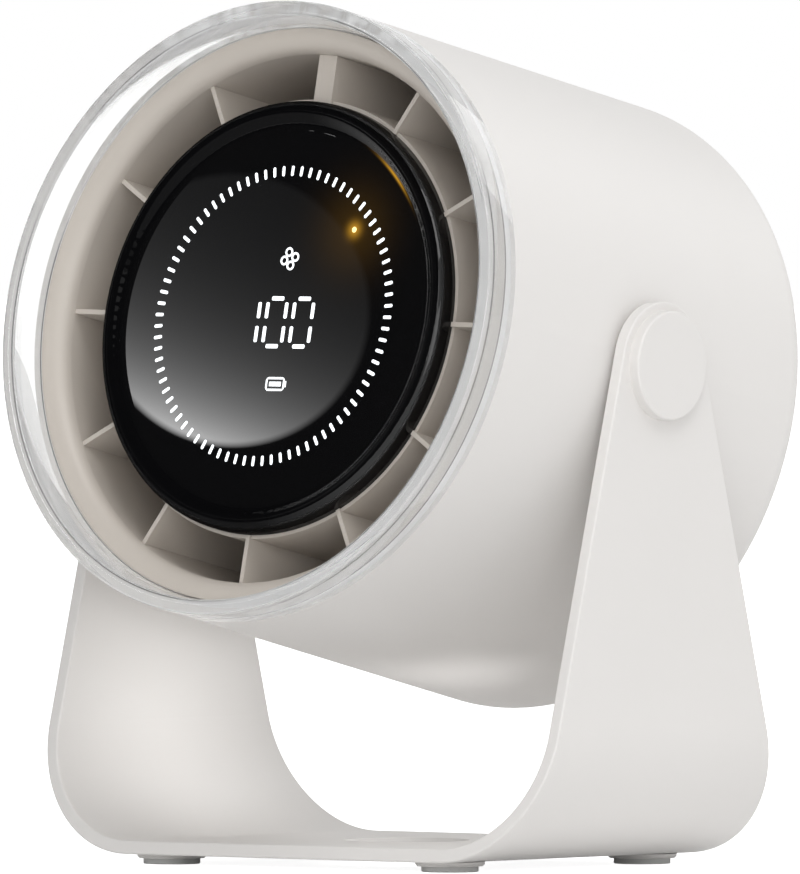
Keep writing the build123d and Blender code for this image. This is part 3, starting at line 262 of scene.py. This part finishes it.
def seen_rays(graph, turned_share=1.0):
    """1 for the camera's own rays, a share for mirrored and bent ones, and 0 for the rest."""
    rays = {
        wire.socket.name: wire for wire in graph.outputs(graph.node("ShaderNodeLightPath"))
    }
    mirrored = rays["Is Glossy Ray"] * turned_share + rays["Is Camera Ray"]
    return rays["Is Transmission Ray"] * turned_share + mirrored


world = bpy.data.worlds.new("studio")
scene.world = world
world.use_nodes = True
sky = Graph(world.node_tree)
sky_light, sky_seen = [
    sky.node("ShaderNodeBackground", inputs={"Color": colour(1.0), "Strength": strength})
    for strength in (SKY_LIGHT, SKY_SEEN)
]
sky_output = sky.tree.nodes.new("ShaderNodeOutputWorld")
sky_both = sky.node(
    "ShaderNodeMixShader", inputs={0: seen_rays(sky), 1: sky_light, 2: sky_seen}
)
sky.put(sky_output.inputs[0], sky_both)
print("world:", len(sky.tree.nodes), "nodes")

# %% [markdown]
# ## Lamps
#
# Four large soft lamps do the modelling. The key lamp is high on the camera's side and lights
# the tops, so the barrel's underside stays slightly darker. A low one beside the camera fills
# the legs, one to its left fills the front, and one behind on the right keeps the barrel's far
# side pale. A real table also throws light up between the legs, which a glow that only the
# camera sees doesn't do. A lamp as small as a fingertip stands there instead, and its narrow
# spread reaches only the left leg.

# %% Lamps
SOFT_BOX = 1.3
FAN_MIDDLE = (0.0, 0.0, 0.09)


def lamp(name, place, size, power, aim=FAN_MIDDLE):
    """A square lamp that faces a point, by default the fan's middle, and isn't itself seen."""
    bpy.ops.object.light_add(type="AREA", location=place)
    light = bpy.context.object
    light.name = name
    light.data.size = size
    light.data.energy = power
    light.visible_camera = False
    way = Vector(aim) - Vector(place)
    light.rotation_euler = way.to_track_quat("-Z", "Y").to_euler()
    print(name, "at", place, "of", power, "W")
    return light


lamp("key_lamp", (1.3, -0.8, 2.1), SOFT_BOX, 17.0)
lamp("side_lamp", (1.95, -1.52, 0.35), SOFT_BOX, 12.0)
lamp("front_lamp", (0.9, -2.3, 1.0), SOFT_BOX, 8.0)
lamp("back_lamp", (0.6, 2.2, 1.6), SOFT_BOX, 9.0)
tucked = lamp("tucked_lamp", (0.05, 0.0, 0.02), 0.02, 0.003, aim=(-0.06, 0.0, 0.03))
tucked.data.spread = radians(44.0)

# %% [markdown]
# ## Finishes
#
# A finish is a tree with one Principled shader in it, and each pattern that feeds the shader
# is a method here, so that a finish reads as a short recipe. Patterns start from the object's
# own coordinates, so they stay on the piece when a joint moves it. Where a pattern follows the
# barrel, the coordinates are also turned into its directions, and then a distance from its
# axis is easy to work out.

# %% The finish class
class Finish(Graph):
    """A material in the making: one Principled shader and the nodes that feed it."""

    def __init__(self, name, **sockets):
        self.material = bpy.data.materials.new(name)
        self.material.use_nodes = True
        super().__init__(self.material.node_tree)
        self.shader = self.tree.nodes.new("ShaderNodeBsdfPrincipled")
        self.output = self.tree.nodes.new("ShaderNodeOutputMaterial")
        self.tree.links.new(self.shader.outputs[0], self.output.inputs[0])
        self.set(**sockets)
        print("finish:", name)

    def set(self, **sockets):
        """Writes on the shader's sockets, or links them: Base_Color stands for Base Color."""
        for name, value in sockets.items():
            self.put(self.shader.inputs[name.replace("_", " ")], value)

    def place(self):
        """Where a point is on the object as built, in metres."""
        return self.node("ShaderNodeTexCoord", out="Object")

    def barrel_place(self):
        """The same point in the barrel's own directions: right, back and up from the rim."""
        turn = (-atan(forward.z / -forward.y), 0.0, 0.0)
        return self.node(
            "ShaderNodeMapping",
            {"vector_type": "TEXTURE"},
            {"Vector": self.place(), "Location": rim_centre, "Rotation": turn},
        )

    def split(self, vector):
        """The three numbers of a vector, each as a Wire."""
        return self.outputs(self.node("ShaderNodeSeparateXYZ", inputs={0: vector}))

    def noise(self, vector, size_mm, detail=2.0, roughness=0.5):
        """Soft noise from 0 to 1 whose blotches are about so many millimetres across."""
        inputs = {
            "Vector": vector,
            "Scale": 1.0 / (size_mm * MM),
            "Detail": detail,
            "Roughness": roughness,
        }
        return self.node("ShaderNodeTexNoise", inputs=inputs)

    def wave(self, direction, scale, **inputs):
        """Bands across the object, as the factor output of a wave texture."""
        inputs.update(Vector=self.place(), Scale=scale)
        return self.node("ShaderNodeTexWave", {"bands_direction": direction}, inputs, out=1)

    def ramp(self, value, *stops):
        """A value read off a ramp, whose stops are pairs of a position and a level."""
        return self.node("ShaderNodeValToRGB", {"stops": stops}, {0: value})

    def mix(self, share, first, second):
        """A blend of two colours, each a grey level or three numbers."""
        return self.node(
            "ShaderNodeMix",
            {"data_type": "RGBA"},
            {0: share, 6: colour(first), 7: colour(second)},
            out=2,
        )

    def bump(self, height, depth_mm):
        """Relief on the Normal socket: a height of 1 stands so many millimetres proud."""
        inputs = {"Height": height, "Distance": depth_mm * MM, "Strength": 1.0}
        self.set(Normal=self.node("ShaderNodeBump", inputs=inputs))


# %% [markdown]
# ## Floor finish
#
# The floor is white card. Lit only by the lamps it would show as pale grey, so a glow is added
# for the rays that the camera sees, and half of it for rays that the fan's gloss and the clear
# ring pass on. The glow lights nothing else, and the fan's shade still shows through it. One
# helper puts a finish on a piece, and every later step uses it.

# %% Floor finish
FLOOR_GLOW = 0.9


def dress(finish, *names):
    """Puts a finish in the material slots of CAD nodes, or of pieces made here."""
    for name in names:
        piece = nodes.get(name) or bpy.data.objects[name]
        if not piece.data.materials:
            piece.data.materials.append(finish.material)
        for slot in piece.material_slots:
            slot.material = finish.material
    print(finish.material.name, "on", ", ".join(names))


paper = Finish("floor_card", Roughness=0.9)
paper_grain = paper.noise(paper.place(), 0.8, detail=3.0)
paper.set(Base_Color=paper.mix(paper_grain, 0.93, 0.96))
paper.bump(paper_grain, 0.02)
paper_plain = Wire(paper, paper.shader.outputs[0])
paper_glow = paper.node("ShaderNodeEmission", inputs={"Strength": FLOOR_GLOW})
paper_both = paper.node("ShaderNodeAddShader", inputs={0: paper_plain, 1: paper_glow})
paper_mix = paper.node(
    "ShaderNodeMixShader", inputs={0: seen_rays(paper, 0.5), 1: paper_plain, 2: paper_both}
)
paper.put(paper.output.inputs[0], paper_mix)
dress(paper, "floor")

# %% [markdown]
# ## Moulded plastic
#
# The stand and the barrel are matte moulded plastic. A mould is spark-eroded, which leaves a
# fine even grain of a few tenths of a millimetre, and the colour drifts very slightly over a
# large part. Both come from noise on the object's own coordinates: the fine noise goes to
# bump and roughness, and the wide one shifts the colour by a few percent. Rubber, nylon and
# the cover of a wire differ only in colour, gloss and the size of that grain.

# %% Moulded plastic
CLOUD_MM = 38.0
GRAIN_GLOSS, CLOUD_GLOSS = 0.12, 0.05


def dimmed(base, share):
    """A colour with each of its numbers times a share."""
    return [value * share for value in base]


def moulded(name, base, roughness, grain_mm=0.35, relief_mm=0.012, drift=0.03):
    """Plastic of one colour, whose mean roughness is the one given."""
    finish = Finish(name)
    place = finish.place()
    grain = finish.noise(place, grain_mm, detail=3.0, roughness=0.6)
    cloud = finish.noise(place, CLOUD_MM)
    smoothest = roughness - (GRAIN_GLOSS + CLOUD_GLOSS) / 2
    finish.set(
        Base_Color=finish.mix(cloud, dimmed(base, 1.0 - drift), base),
        Roughness=grain * GRAIN_GLOSS + cloud * CLOUD_GLOSS + smoothest,
    )
    finish.bump(grain, relief_mm)
    return finish


white_plastic = moulded("white_plastic", (0.81, 0.79, 0.77), 0.5)
duct_plastic = moulded("duct_plastic", (0.60, 0.55, 0.495), 0.42, grain_mm=0.3)
impeller_plastic = moulded("impeller_plastic", (0.36, 0.33, 0.30), 0.42)
black_plastic = moulded("black_plastic", (0.018, 0.018, 0.02), 0.45, drift=0.15)
nylon = moulded("natural_nylon", (0.70, 0.67, 0.58), 0.35, grain_mm=0.6)
chip_epoxy = moulded("chip_epoxy", (0.025, 0.025, 0.027), 0.55, grain_mm=0.2)
foot_rubber = moulded("foot_rubber", (0.62, 0.62, 0.61), 0.8, grain_mm=0.5, relief_mm=0.03)
wire_cover = moulded("wire_cover", (0.03, 0.03, 0.03), 0.5, grain_mm=0.5)

# %% [markdown]
# ## Pieces in moulded plastic
#
# The stand, the shell, the caps, the grille and the dial come from the same pale plastic, so
# they share one finish. The duct, its vanes and the hub are a warmer grey, and the impeller
# behind them is darker. Each finish is made once and shared, so a change to its colour changes
# every piece that wears it.

# %% Pieces in moulded plastic
dress(white_plastic, "u_stand", "outer_shell", "pivot_cap_right", "pivot_cap_left")
dress(white_plastic, "rear_grille", "speed_dial")
dress(duct_plastic, "duct_liner", "hub_housing", "guide_vanes")
dress(impeller_plastic, "impeller_hub", "impeller_blades")
dress(black_plastic, "display_frame", "battery_tray", "encoder_body", "press_plunger")
dress(nylon, "friction_bush_right", "friction_bush_left")
dress(chip_epoxy, "board_components")
dress(foot_rubber, "foot_pads")
dress(wire_cover, "wire_harness", "motor_leads", "usb_leads")

# %% [markdown]
# ## Clear ring
#
# Clear plastic shows every flat of a mesh that stands in for a round surface, because each one
# bends the light its own way. So the front ring is turned again here, from 256 steps. It could
# be spun from a profile, but then the last step has to be merged with the first. Instead, a
# circle of edges is extruded, scaled and moved on to each point of the section in turn, and
# the last loop is bridged to the first to close the ring.

# %% How a ring is turned
RING_STEPS = 256
SHARP_EDGE = radians(30)


def turned(name, section):
    """A closed ring turned about the barrel's axis: section holds radius and depth in mm."""
    deselect()
    radius, depth = section[0]
    bpy.ops.mesh.primitive_circle_add(
        vertices=RING_STEPS, radius=radius * MM, location=(0, 0, 0), fill_type="NOTHING"
    )
    piece = bpy.context.object
    piece.name = name
    bpy.ops.object.mode_set(mode="EDIT")
    bpy.ops.mesh.select_mode(type="EDGE")
    bpy.ops.mesh.select_all(action="SELECT")
    bpy.ops.transform.translate(value=(0, 0, -depth * MM))
    for next_radius, next_depth in section[1:]:
        bpy.ops.mesh.extrude_edges_move()
        grow = next_radius / radius
        bpy.ops.transform.resize(value=(grow, grow, 1.0))
        bpy.ops.transform.translate(value=(0, 0, (depth - next_depth) * MM))
        radius, depth = next_radius, next_depth
    bpy.ops.mesh.select_all(action="DESELECT")
    bpy.ops.mesh.select_non_manifold()
    bpy.ops.mesh.bridge_edge_loops()
    bpy.ops.mesh.select_all(action="SELECT")
    bpy.ops.mesh.normals_make_consistent(inside=False)
    bpy.ops.object.mode_set(mode="OBJECT")
    piece.rotation_euler = forward.to_track_quat("Z", "Y").to_euler()
    piece.location = rim_centre
    bpy.ops.object.transform_apply(location=True, rotation=True, scale=True)
    bpy.ops.object.shade_smooth_by_angle(angle=SHARP_EDGE)
    return piece


# %% [markdown]
# ## The ring's section
#
# The section is a plain outline of radii and depths behind the rim. It has a rounded mouth, an
# outside as wide as the barrel, and a thin spigot that sits inside the shell. The bore widens
# a little towards the mouth, as a mould needs, and that slope gives the ring its bright inner
# band.

# %% The ring's section
RING_OUTSIDE, RING_SPIGOT, RING_MOUTH, RING_BORE = 60.0, 57.75, 57.05, 56.2
RING_JOINT, RING_REAR, TAPER_START = 8.0, 11.0, 7.5
RING_ROUND, ARC_STEPS = 0.5, 4


def rounded(radius, first, last):
    """A corner's arc at the mouth, about a centre on a radius, between two turns in degrees."""
    turns = [
        radians(first + (last - first) * step / ARC_STEPS) for step in range(ARC_STEPS + 1)
    ]
    return [
        (radius + RING_ROUND * cos(turn), RING_ROUND - RING_ROUND * sin(turn))
        for turn in turns
    ]


ring_section = (
    rounded(RING_MOUTH + RING_ROUND, 175, 90)
    + rounded(RING_OUTSIDE - RING_ROUND, 90, 0)
    + [(RING_OUTSIDE, RING_JOINT), (RING_SPIGOT, RING_JOINT)]
    + [(RING_SPIGOT, RING_REAR), (RING_BORE, RING_REAR), (RING_BORE, TAPER_START)]
)
clear_front = turned("clear_front", ring_section)
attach(clear_front, "head")
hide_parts("clear_ring")
print("clear ring:", len(clear_front.data.polygons), "faces")

# %% [markdown]
# ## Acrylic
#
# The ring is polished clear acrylic. It bends light far more than it reflects, so it needs real
# transmission with acrylic's index of 1.49. A fifth of the light is scattered instead, as by
# the faint haze of a moulded part. On a real ring thin dark lines run along the edges, where
# they turn a dark room into view. This studio is white all round and has nothing dark to show
# there, so the lines are drawn in the colour as narrow humps, and a wide noise breaks them up.

# %% Acrylic
EULER = 2.718
INNER_WALL = 58.0
DARK_LINE = 0.04


def away(across, up):
    """The distance from an axis, from the two measures across it."""
    return (across * across + up * up) ** 0.5


def hump(value, middle, width):
    """1 where a value is at the middle, and next to nothing two widths away from it."""
    return EULER ** (((value - middle) / width) ** 2.0 * -1.0)


acrylic = Finish("clear_acrylic", IOR=1.49, Transmission_Weight=0.8)
acrylic_place = acrylic.barrel_place()
acrylic_haze = acrylic.noise(acrylic_place, 30.0)
acrylic.set(Roughness=acrylic_haze * 0.01 + 0.002)
ring_across, ring_back, ring_up = acrylic.split(acrylic_place)
ring_radius = away(ring_across, ring_up) / MM
ring_depth = ring_back / MM
on_inside = ring_radius < INNER_WALL
rear_line = hump(ring_depth, 7.3, 0.2) * on_inside
front_line = hump(ring_radius, 57.45, 0.14)
outer_line = hump(ring_depth, 1.4, 0.2) * (1.0 - on_inside)
line_breaks = acrylic.ramp(acrylic.noise(acrylic_place, 45.0), (0.40, 0.15), (0.52, 0.95))
dark_lines = (rear_line + front_line + outer_line) * line_breaks
acrylic.set(Base_Color=acrylic.mix(dark_lines, (0.95, 0.952, 0.95), DARK_LINE))
dress(acrylic, "clear_front")

# %% [markdown]
# ## The ring's joint
#
# The faces of a clear ring that meet an opaque shell are often left frosted, so the joint
# shows through the clear wall as a white band. It could be a separate piece, but it has no
# thickness. So a second material does that on the faces from the joint back. It also glows
# slightly, a painted glow that brightens the band, since the frosted face is no lamp.

# %% The ring's joint
FROST_FROM = 7.6

# Painted glow: the frosted faces emit a little of their own white to brighten the band.
joint = Finish("frosted_joint_painted_glow", Roughness=0.6, Emission_Strength=0.1)
frost_white_and_painted_glow = joint.mix(joint.noise(joint.place(), 9.0), 0.82, 0.88)
joint.set(Base_Color=frost_white_and_painted_glow, Emission_Color=frost_white_and_painted_glow)
clear_front.data.materials.append(joint.material)
frosted = [
    face
    for face in clear_front.data.polygons
    if (rim_centre - face.center).dot(forward) > FROST_FROM * MM
]
for face in frosted:
    face.material_index = 1
print("frosted faces:", len(frosted))

# %% [markdown]
# ## Black display
#
# The display is one polished black lens. Its colour is almost nothing, so all that shows is
# what it mirrors. A clear coat does the mirroring, and the shader's own reflection is off,
# because the coat's weight may vary over the surface. It is full on the flat face and weak on
# the rounded edge, and grows again to the right, where that edge turns towards the camera. Each
# of the two is read off a ramp, and the larger one counts.

# %% Black display
FACE_RADIUS = 37.0
LENS_ACROSS = 80.0
RAMP_REACH = 50.0

lens = Finish("display_lens", Base_Color=colour((0.003, 0.003, 0.0034)), Roughness=0.35)
lens.set(Specular_IOR_Level=0.0, Coat_IOR=1.5, Coat_Roughness=0.006)
across, _, up = lens.split(lens.barrel_place())
from_axis = away(across, up) / MM
face_edge = FACE_RADIUS / RAMP_REACH
face_coat = lens.ramp(from_axis / RAMP_REACH, (face_edge, 1.0), (face_edge + 0.02, 0.0))
edge_coat = lens.ramp(across / (LENS_ACROSS * MM) + 0.5, (0.55, 0.12), (0.85, 0.8))
coat = lens.node("ShaderNodeMath", {"operation": "MAXIMUM"}, {0: face_coat, 1: edge_coat})
lens.set(Coat_Weight=coat)
dress(lens, "display_lens")

# %% [markdown]
# ## The amber light's glow
#
# A small amber light stands behind the lens, up and to the right of its middle. The lens's
# emission paints its light: a tight halo and a faint wide one as painted glow, and a streak on
# the lens's edge in line with it as a painted reflection. All three are humps, worked out in the
# barrel's directions from the light's place, the distance from the axis and the turn about it.

# %% The amber light's glow
STATUS_ACROSS, STATUS_UP = 17.3, 17.0
AMBER_GLOW = (1.0, 0.50, 0.04)
DEGREES = 57.3

from_light = away(across - STATUS_ACROSS * MM, up - STATUS_UP * MM) / MM
painted_near_glow = hump(from_light, 0.0, 1.5)
painted_wide_glow = hump(from_light, 0.0, 8.0)
turn = lens.node("ShaderNodeMath", {"operation": "ARCTAN2"}, {0: up, 1: across}) * DEGREES
painted_streak_reflection = hump(from_axis, 37.7, 0.3) * hump(turn, 47.0, 7.0)
# Painted glow and a painted reflection, summed into the lens's emission.
glow = painted_near_glow * 0.5 + painted_wide_glow * 0.035 + painted_streak_reflection * 0.6
lens.set(Emission_Color=lens.mix(glow, 0.0, AMBER_GLOW), Emission_Strength=1.0)
print("lens:", len(lens.tree.nodes), "nodes")

# %% [markdown]
# ## What the display mirrors
#
# A polished black surface only looks like something when it mirrors something. Here it is a
# dark card a metre away, where a ray from the camera goes once the display has turned it. Only
# mirrored rays see the card, so it neither lights the fan nor shades it.

# %% Card in front of the display
LENS_FACE_DEPTH = 8.95
CARD_SIZE = 4.0

display_centre = rim_centre - forward * LENS_FACE_DEPTH * MM
incoming = (display_centre - camera.location).normalized()
outgoing = incoming - forward * (2.0 * incoming.dot(forward))
deselect()
bpy.ops.mesh.primitive_plane_add(size=CARD_SIZE, location=display_centre + outgoing)
card = bpy.context.object
card.name = "mirror_card"
card.rotation_euler = (-outgoing).to_track_quat("Z", "Y").to_euler()
card.visible_camera = False
card.visible_diffuse = False
card.visible_shadow = False
card.visible_transmission = False
print("card's middle:", tuple(round(v, 3) for v in card.location))

# %% [markdown]
# ## The card's glow
#
# A round patch of the card glows and the rest is nearly black. The patch is brightest at its
# lower right, which the mirror shows at the lower left, and its edge is sharp. That gives the
# display a soft grey sweep with a black crescent round it. A ramp cuts the patch out by
# distance from its middle, and a power that falls off with height makes the sweep.

# %% The card's glow
PATCH_ACROSS, PATCH_UP, PATCH_REACH = 9.2, -1.1, 40.0
CARD_DARK = 0.03

dark_card = Finish("dark_card", Base_Color=colour(0.0), Emission_Strength=1.0)
dark_card.set(Specular_IOR_Level=0.0)
card_across, card_up, _ = dark_card.split(dark_card.place())
from_middle = away(card_across - PATCH_ACROSS * MM, card_up - PATCH_UP * MM) / MM
patch = dark_card.ramp(from_middle / PATCH_REACH, (0.0, 1.0), (0.76, 1.0), (0.80, 0.0))
height = card_up / MM
sweep = EULER ** (height * height * 0.0008 - height * 0.0685 + card_across / MM * 0.0115)
dark_card.set(Emission_Color=patch * sweep * 0.44 + CARD_DARK)
dress(dark_card, "mirror_card")

# %% [markdown]
# ## Lit marks
#
# The ticks and figures are windows with a light guide behind them. They are plain emitters, as
# a guide spreads its light evenly, barely blue, and a soft noise dims parts of them by up to a
# tenth. The amber light is a little stronger than white, so that its middle burns out.

# %% Lit marks
def lit(name, base, strength):
    """A light guide's colour, with a soft drift in its brightness."""
    finish = Finish(name, Base_Color=colour(base), Roughness=0.4, Emission_Strength=strength)
    drift = finish.noise(finish.place(), 6.0)
    finish.set(Emission_Color=finish.mix(drift, dimmed(base, 0.9), base))
    return finish


white_light = lit("white_light", (0.93, 0.97, 1.0), 1.0)
amber_light = lit("amber_light", (1.0, 0.66, 0.25), 1.6)
dress(white_light, "tick_light_ring", "symbol_light_guide")
dress(amber_light, "status_light")

# %% [markdown]
# ## Metals
#
# Little of these shows, but the fan can be taken apart, and a plain grey screw would give the
# game away. Turned and stamped metal has fine scratches that run one way, so the noise is
# squeezed along one axis by a Mapping node. Cast alloy has none, and keeps the noise even.

# %% Metals
def metal(name, base, roughness, scratch_mm=0.25, stretch=(1.0, 12.0, 1.0)):
    """Bare metal of one colour, with scratches across the axis that is squeezed most."""
    finish = Finish(name, Metallic=1.0)
    drawn = finish.node(
        "ShaderNodeMapping", inputs={"Vector": finish.place(), "Scale": stretch}
    )
    scratches = finish.noise(drawn, scratch_mm, detail=4.0)
    finish.set(
        Base_Color=finish.mix(scratches, dimmed(base, 0.82), base),
        Roughness=scratches * 0.2 + (roughness - 0.1),
    )
    finish.bump(scratches, 0.004)
    return finish


steel = metal("turned_steel", (0.62, 0.62, 0.63), 0.3)
nickel = metal("nickel_strip", (0.66, 0.63, 0.57), 0.35)
laminations = metal("stamped_stack", (0.30, 0.30, 0.31), 0.45, 0.2, (1.0, 1.0, 30.0))
cast_alloy = metal("cast_alloy", (0.66, 0.66, 0.68), 0.5, 0.5, (1.0, 1.0, 1.0))
brass = metal("insert_brass", (0.72, 0.50, 0.20), 0.3)
magnet = metal("ground_magnet", (0.16, 0.16, 0.17), 0.4)

# %% [markdown]
# ## Pieces in metal
#
# Screws, washers, shafts and bearings are steel, the strips that join the cells are nickel,
# and the inserts that the pivot screws turn into are brass. The stator is a stack of stamped
# sheets. Its sheets could be modelled, but nobody would count them behind the coils, so its
# noise is squeezed much harder than the rest, into thin level lines.

# %% Pieces in metal
dress(steel, "pivot_screw_right", "pivot_screw_left", "tension_washers", "board_screws")
dress(steel, "motor_screws", "motor_bearings", "motor_shaft", "rotor_can", "rear_screws")
dress(steel, "dial_shaft", "usb_socket")
dress(nickel, "battery_tabs")
dress(laminations, "stator_core")
dress(cast_alloy, "motor_base")
dress(brass, "pivot_insert_right", "pivot_insert_left")
dress(magnet, "rotor_magnets")

# %% [markdown]
# ## Windings
#
# The stator's coils are enamelled copper wire, wound in rows. Each turn could be modelled, but
# that is thousands of faces behind a grille, so the bands of a wave texture stand for the rows,
# in colour and in relief.

# %% Windings
windings = Finish("winding_copper", Metallic=1.0, Roughness=0.28)
rows = windings.wave("DIAGONAL", 900.0, Distortion=0.6)
windings.set(Base_Color=windings.mix(rows, (0.30, 0.10, 0.03), (0.80, 0.38, 0.16)))
windings.bump(rows, 0.15)
dress(windings, "stator_coils")

# %% [markdown]
# ## Circuit boards
#
# A board is copper tracks under green lacquer. The joints of a brick texture make a passable
# net of tracks, paler than the ground between them, and a coat gives the lacquer its shine.

# %% Circuit boards
board = Finish("circuit_board", Coat_Weight=0.6)
tracks = board.node(
    "ShaderNodeTexBrick",
    inputs={
        "Vector": board.barrel_place(),
        "Scale": 130.0,
        "Mortar Size": 0.06,
        "Color1": colour(0.0),
        "Color2": colour(0.35),
        "Mortar": colour(1.0),
    },
)
board.set(
    Base_Color=board.mix(tracks, (0.012, 0.10, 0.045), (0.05, 0.24, 0.10)),
    Roughness=board.noise(board.place(), 3.0) * 0.2 + 0.25,
)
dress(board, "display_board", "control_board", "dial_board", "usb_board")

# %% [markdown]
# ## Battery cells
#
# A battery cell wears a plastic sleeve, shrunk on by heat, which leaves it glossy with slight
# wrinkles. Noise of a few millimetres gives the wrinkles in relief, and the same noise shifts
# the colour and the gloss, so that all three agree.

# %% Battery cells
sleeve = Finish("cell_sleeve", IOR=1.48)
wrinkle = sleeve.noise(sleeve.place(), 7.0, detail=3.0)
sleeve.set(
    Base_Color=sleeve.mix(wrinkle, (0.02, 0.10, 0.28), (0.03, 0.14, 0.36)),
    Roughness=wrinkle * 0.15 + 0.22,
)
sleeve.bump(wrinkle, 0.08)
dress(sleeve, "battery_cells")

# %% [markdown]
# ## Ribbon
#
# The ribbon that feeds the display is amber film with copper lines in it. The lines could be
# cut into the mesh, but they are flush with the film, so a wave texture draws them.

# %% Ribbon
film = Finish("ribbon_film", Roughness=0.3)
lines = film.wave("X", 320.0)
film.set(Base_Color=film.mix(lines, (0.42, 0.18, 0.03), (0.66, 0.34, 0.08)))
dress(film, "display_ribbon")

# %% [markdown]
# ## Display lights
#
# The lights behind the display are drops of resin, yellowed by the powder in them that turns
# their light white. Very fine noise between two yellows stands for the powder.

# %% Display lights
resin = Finish("led_resin", Roughness=0.25, IOR=1.5)
speckle = resin.noise(resin.place(), 0.4)
resin.set(Base_Color=resin.mix(speckle, (0.75, 0.62, 0.22), (0.92, 0.84, 0.46)))
dress(resin, "display_leds")
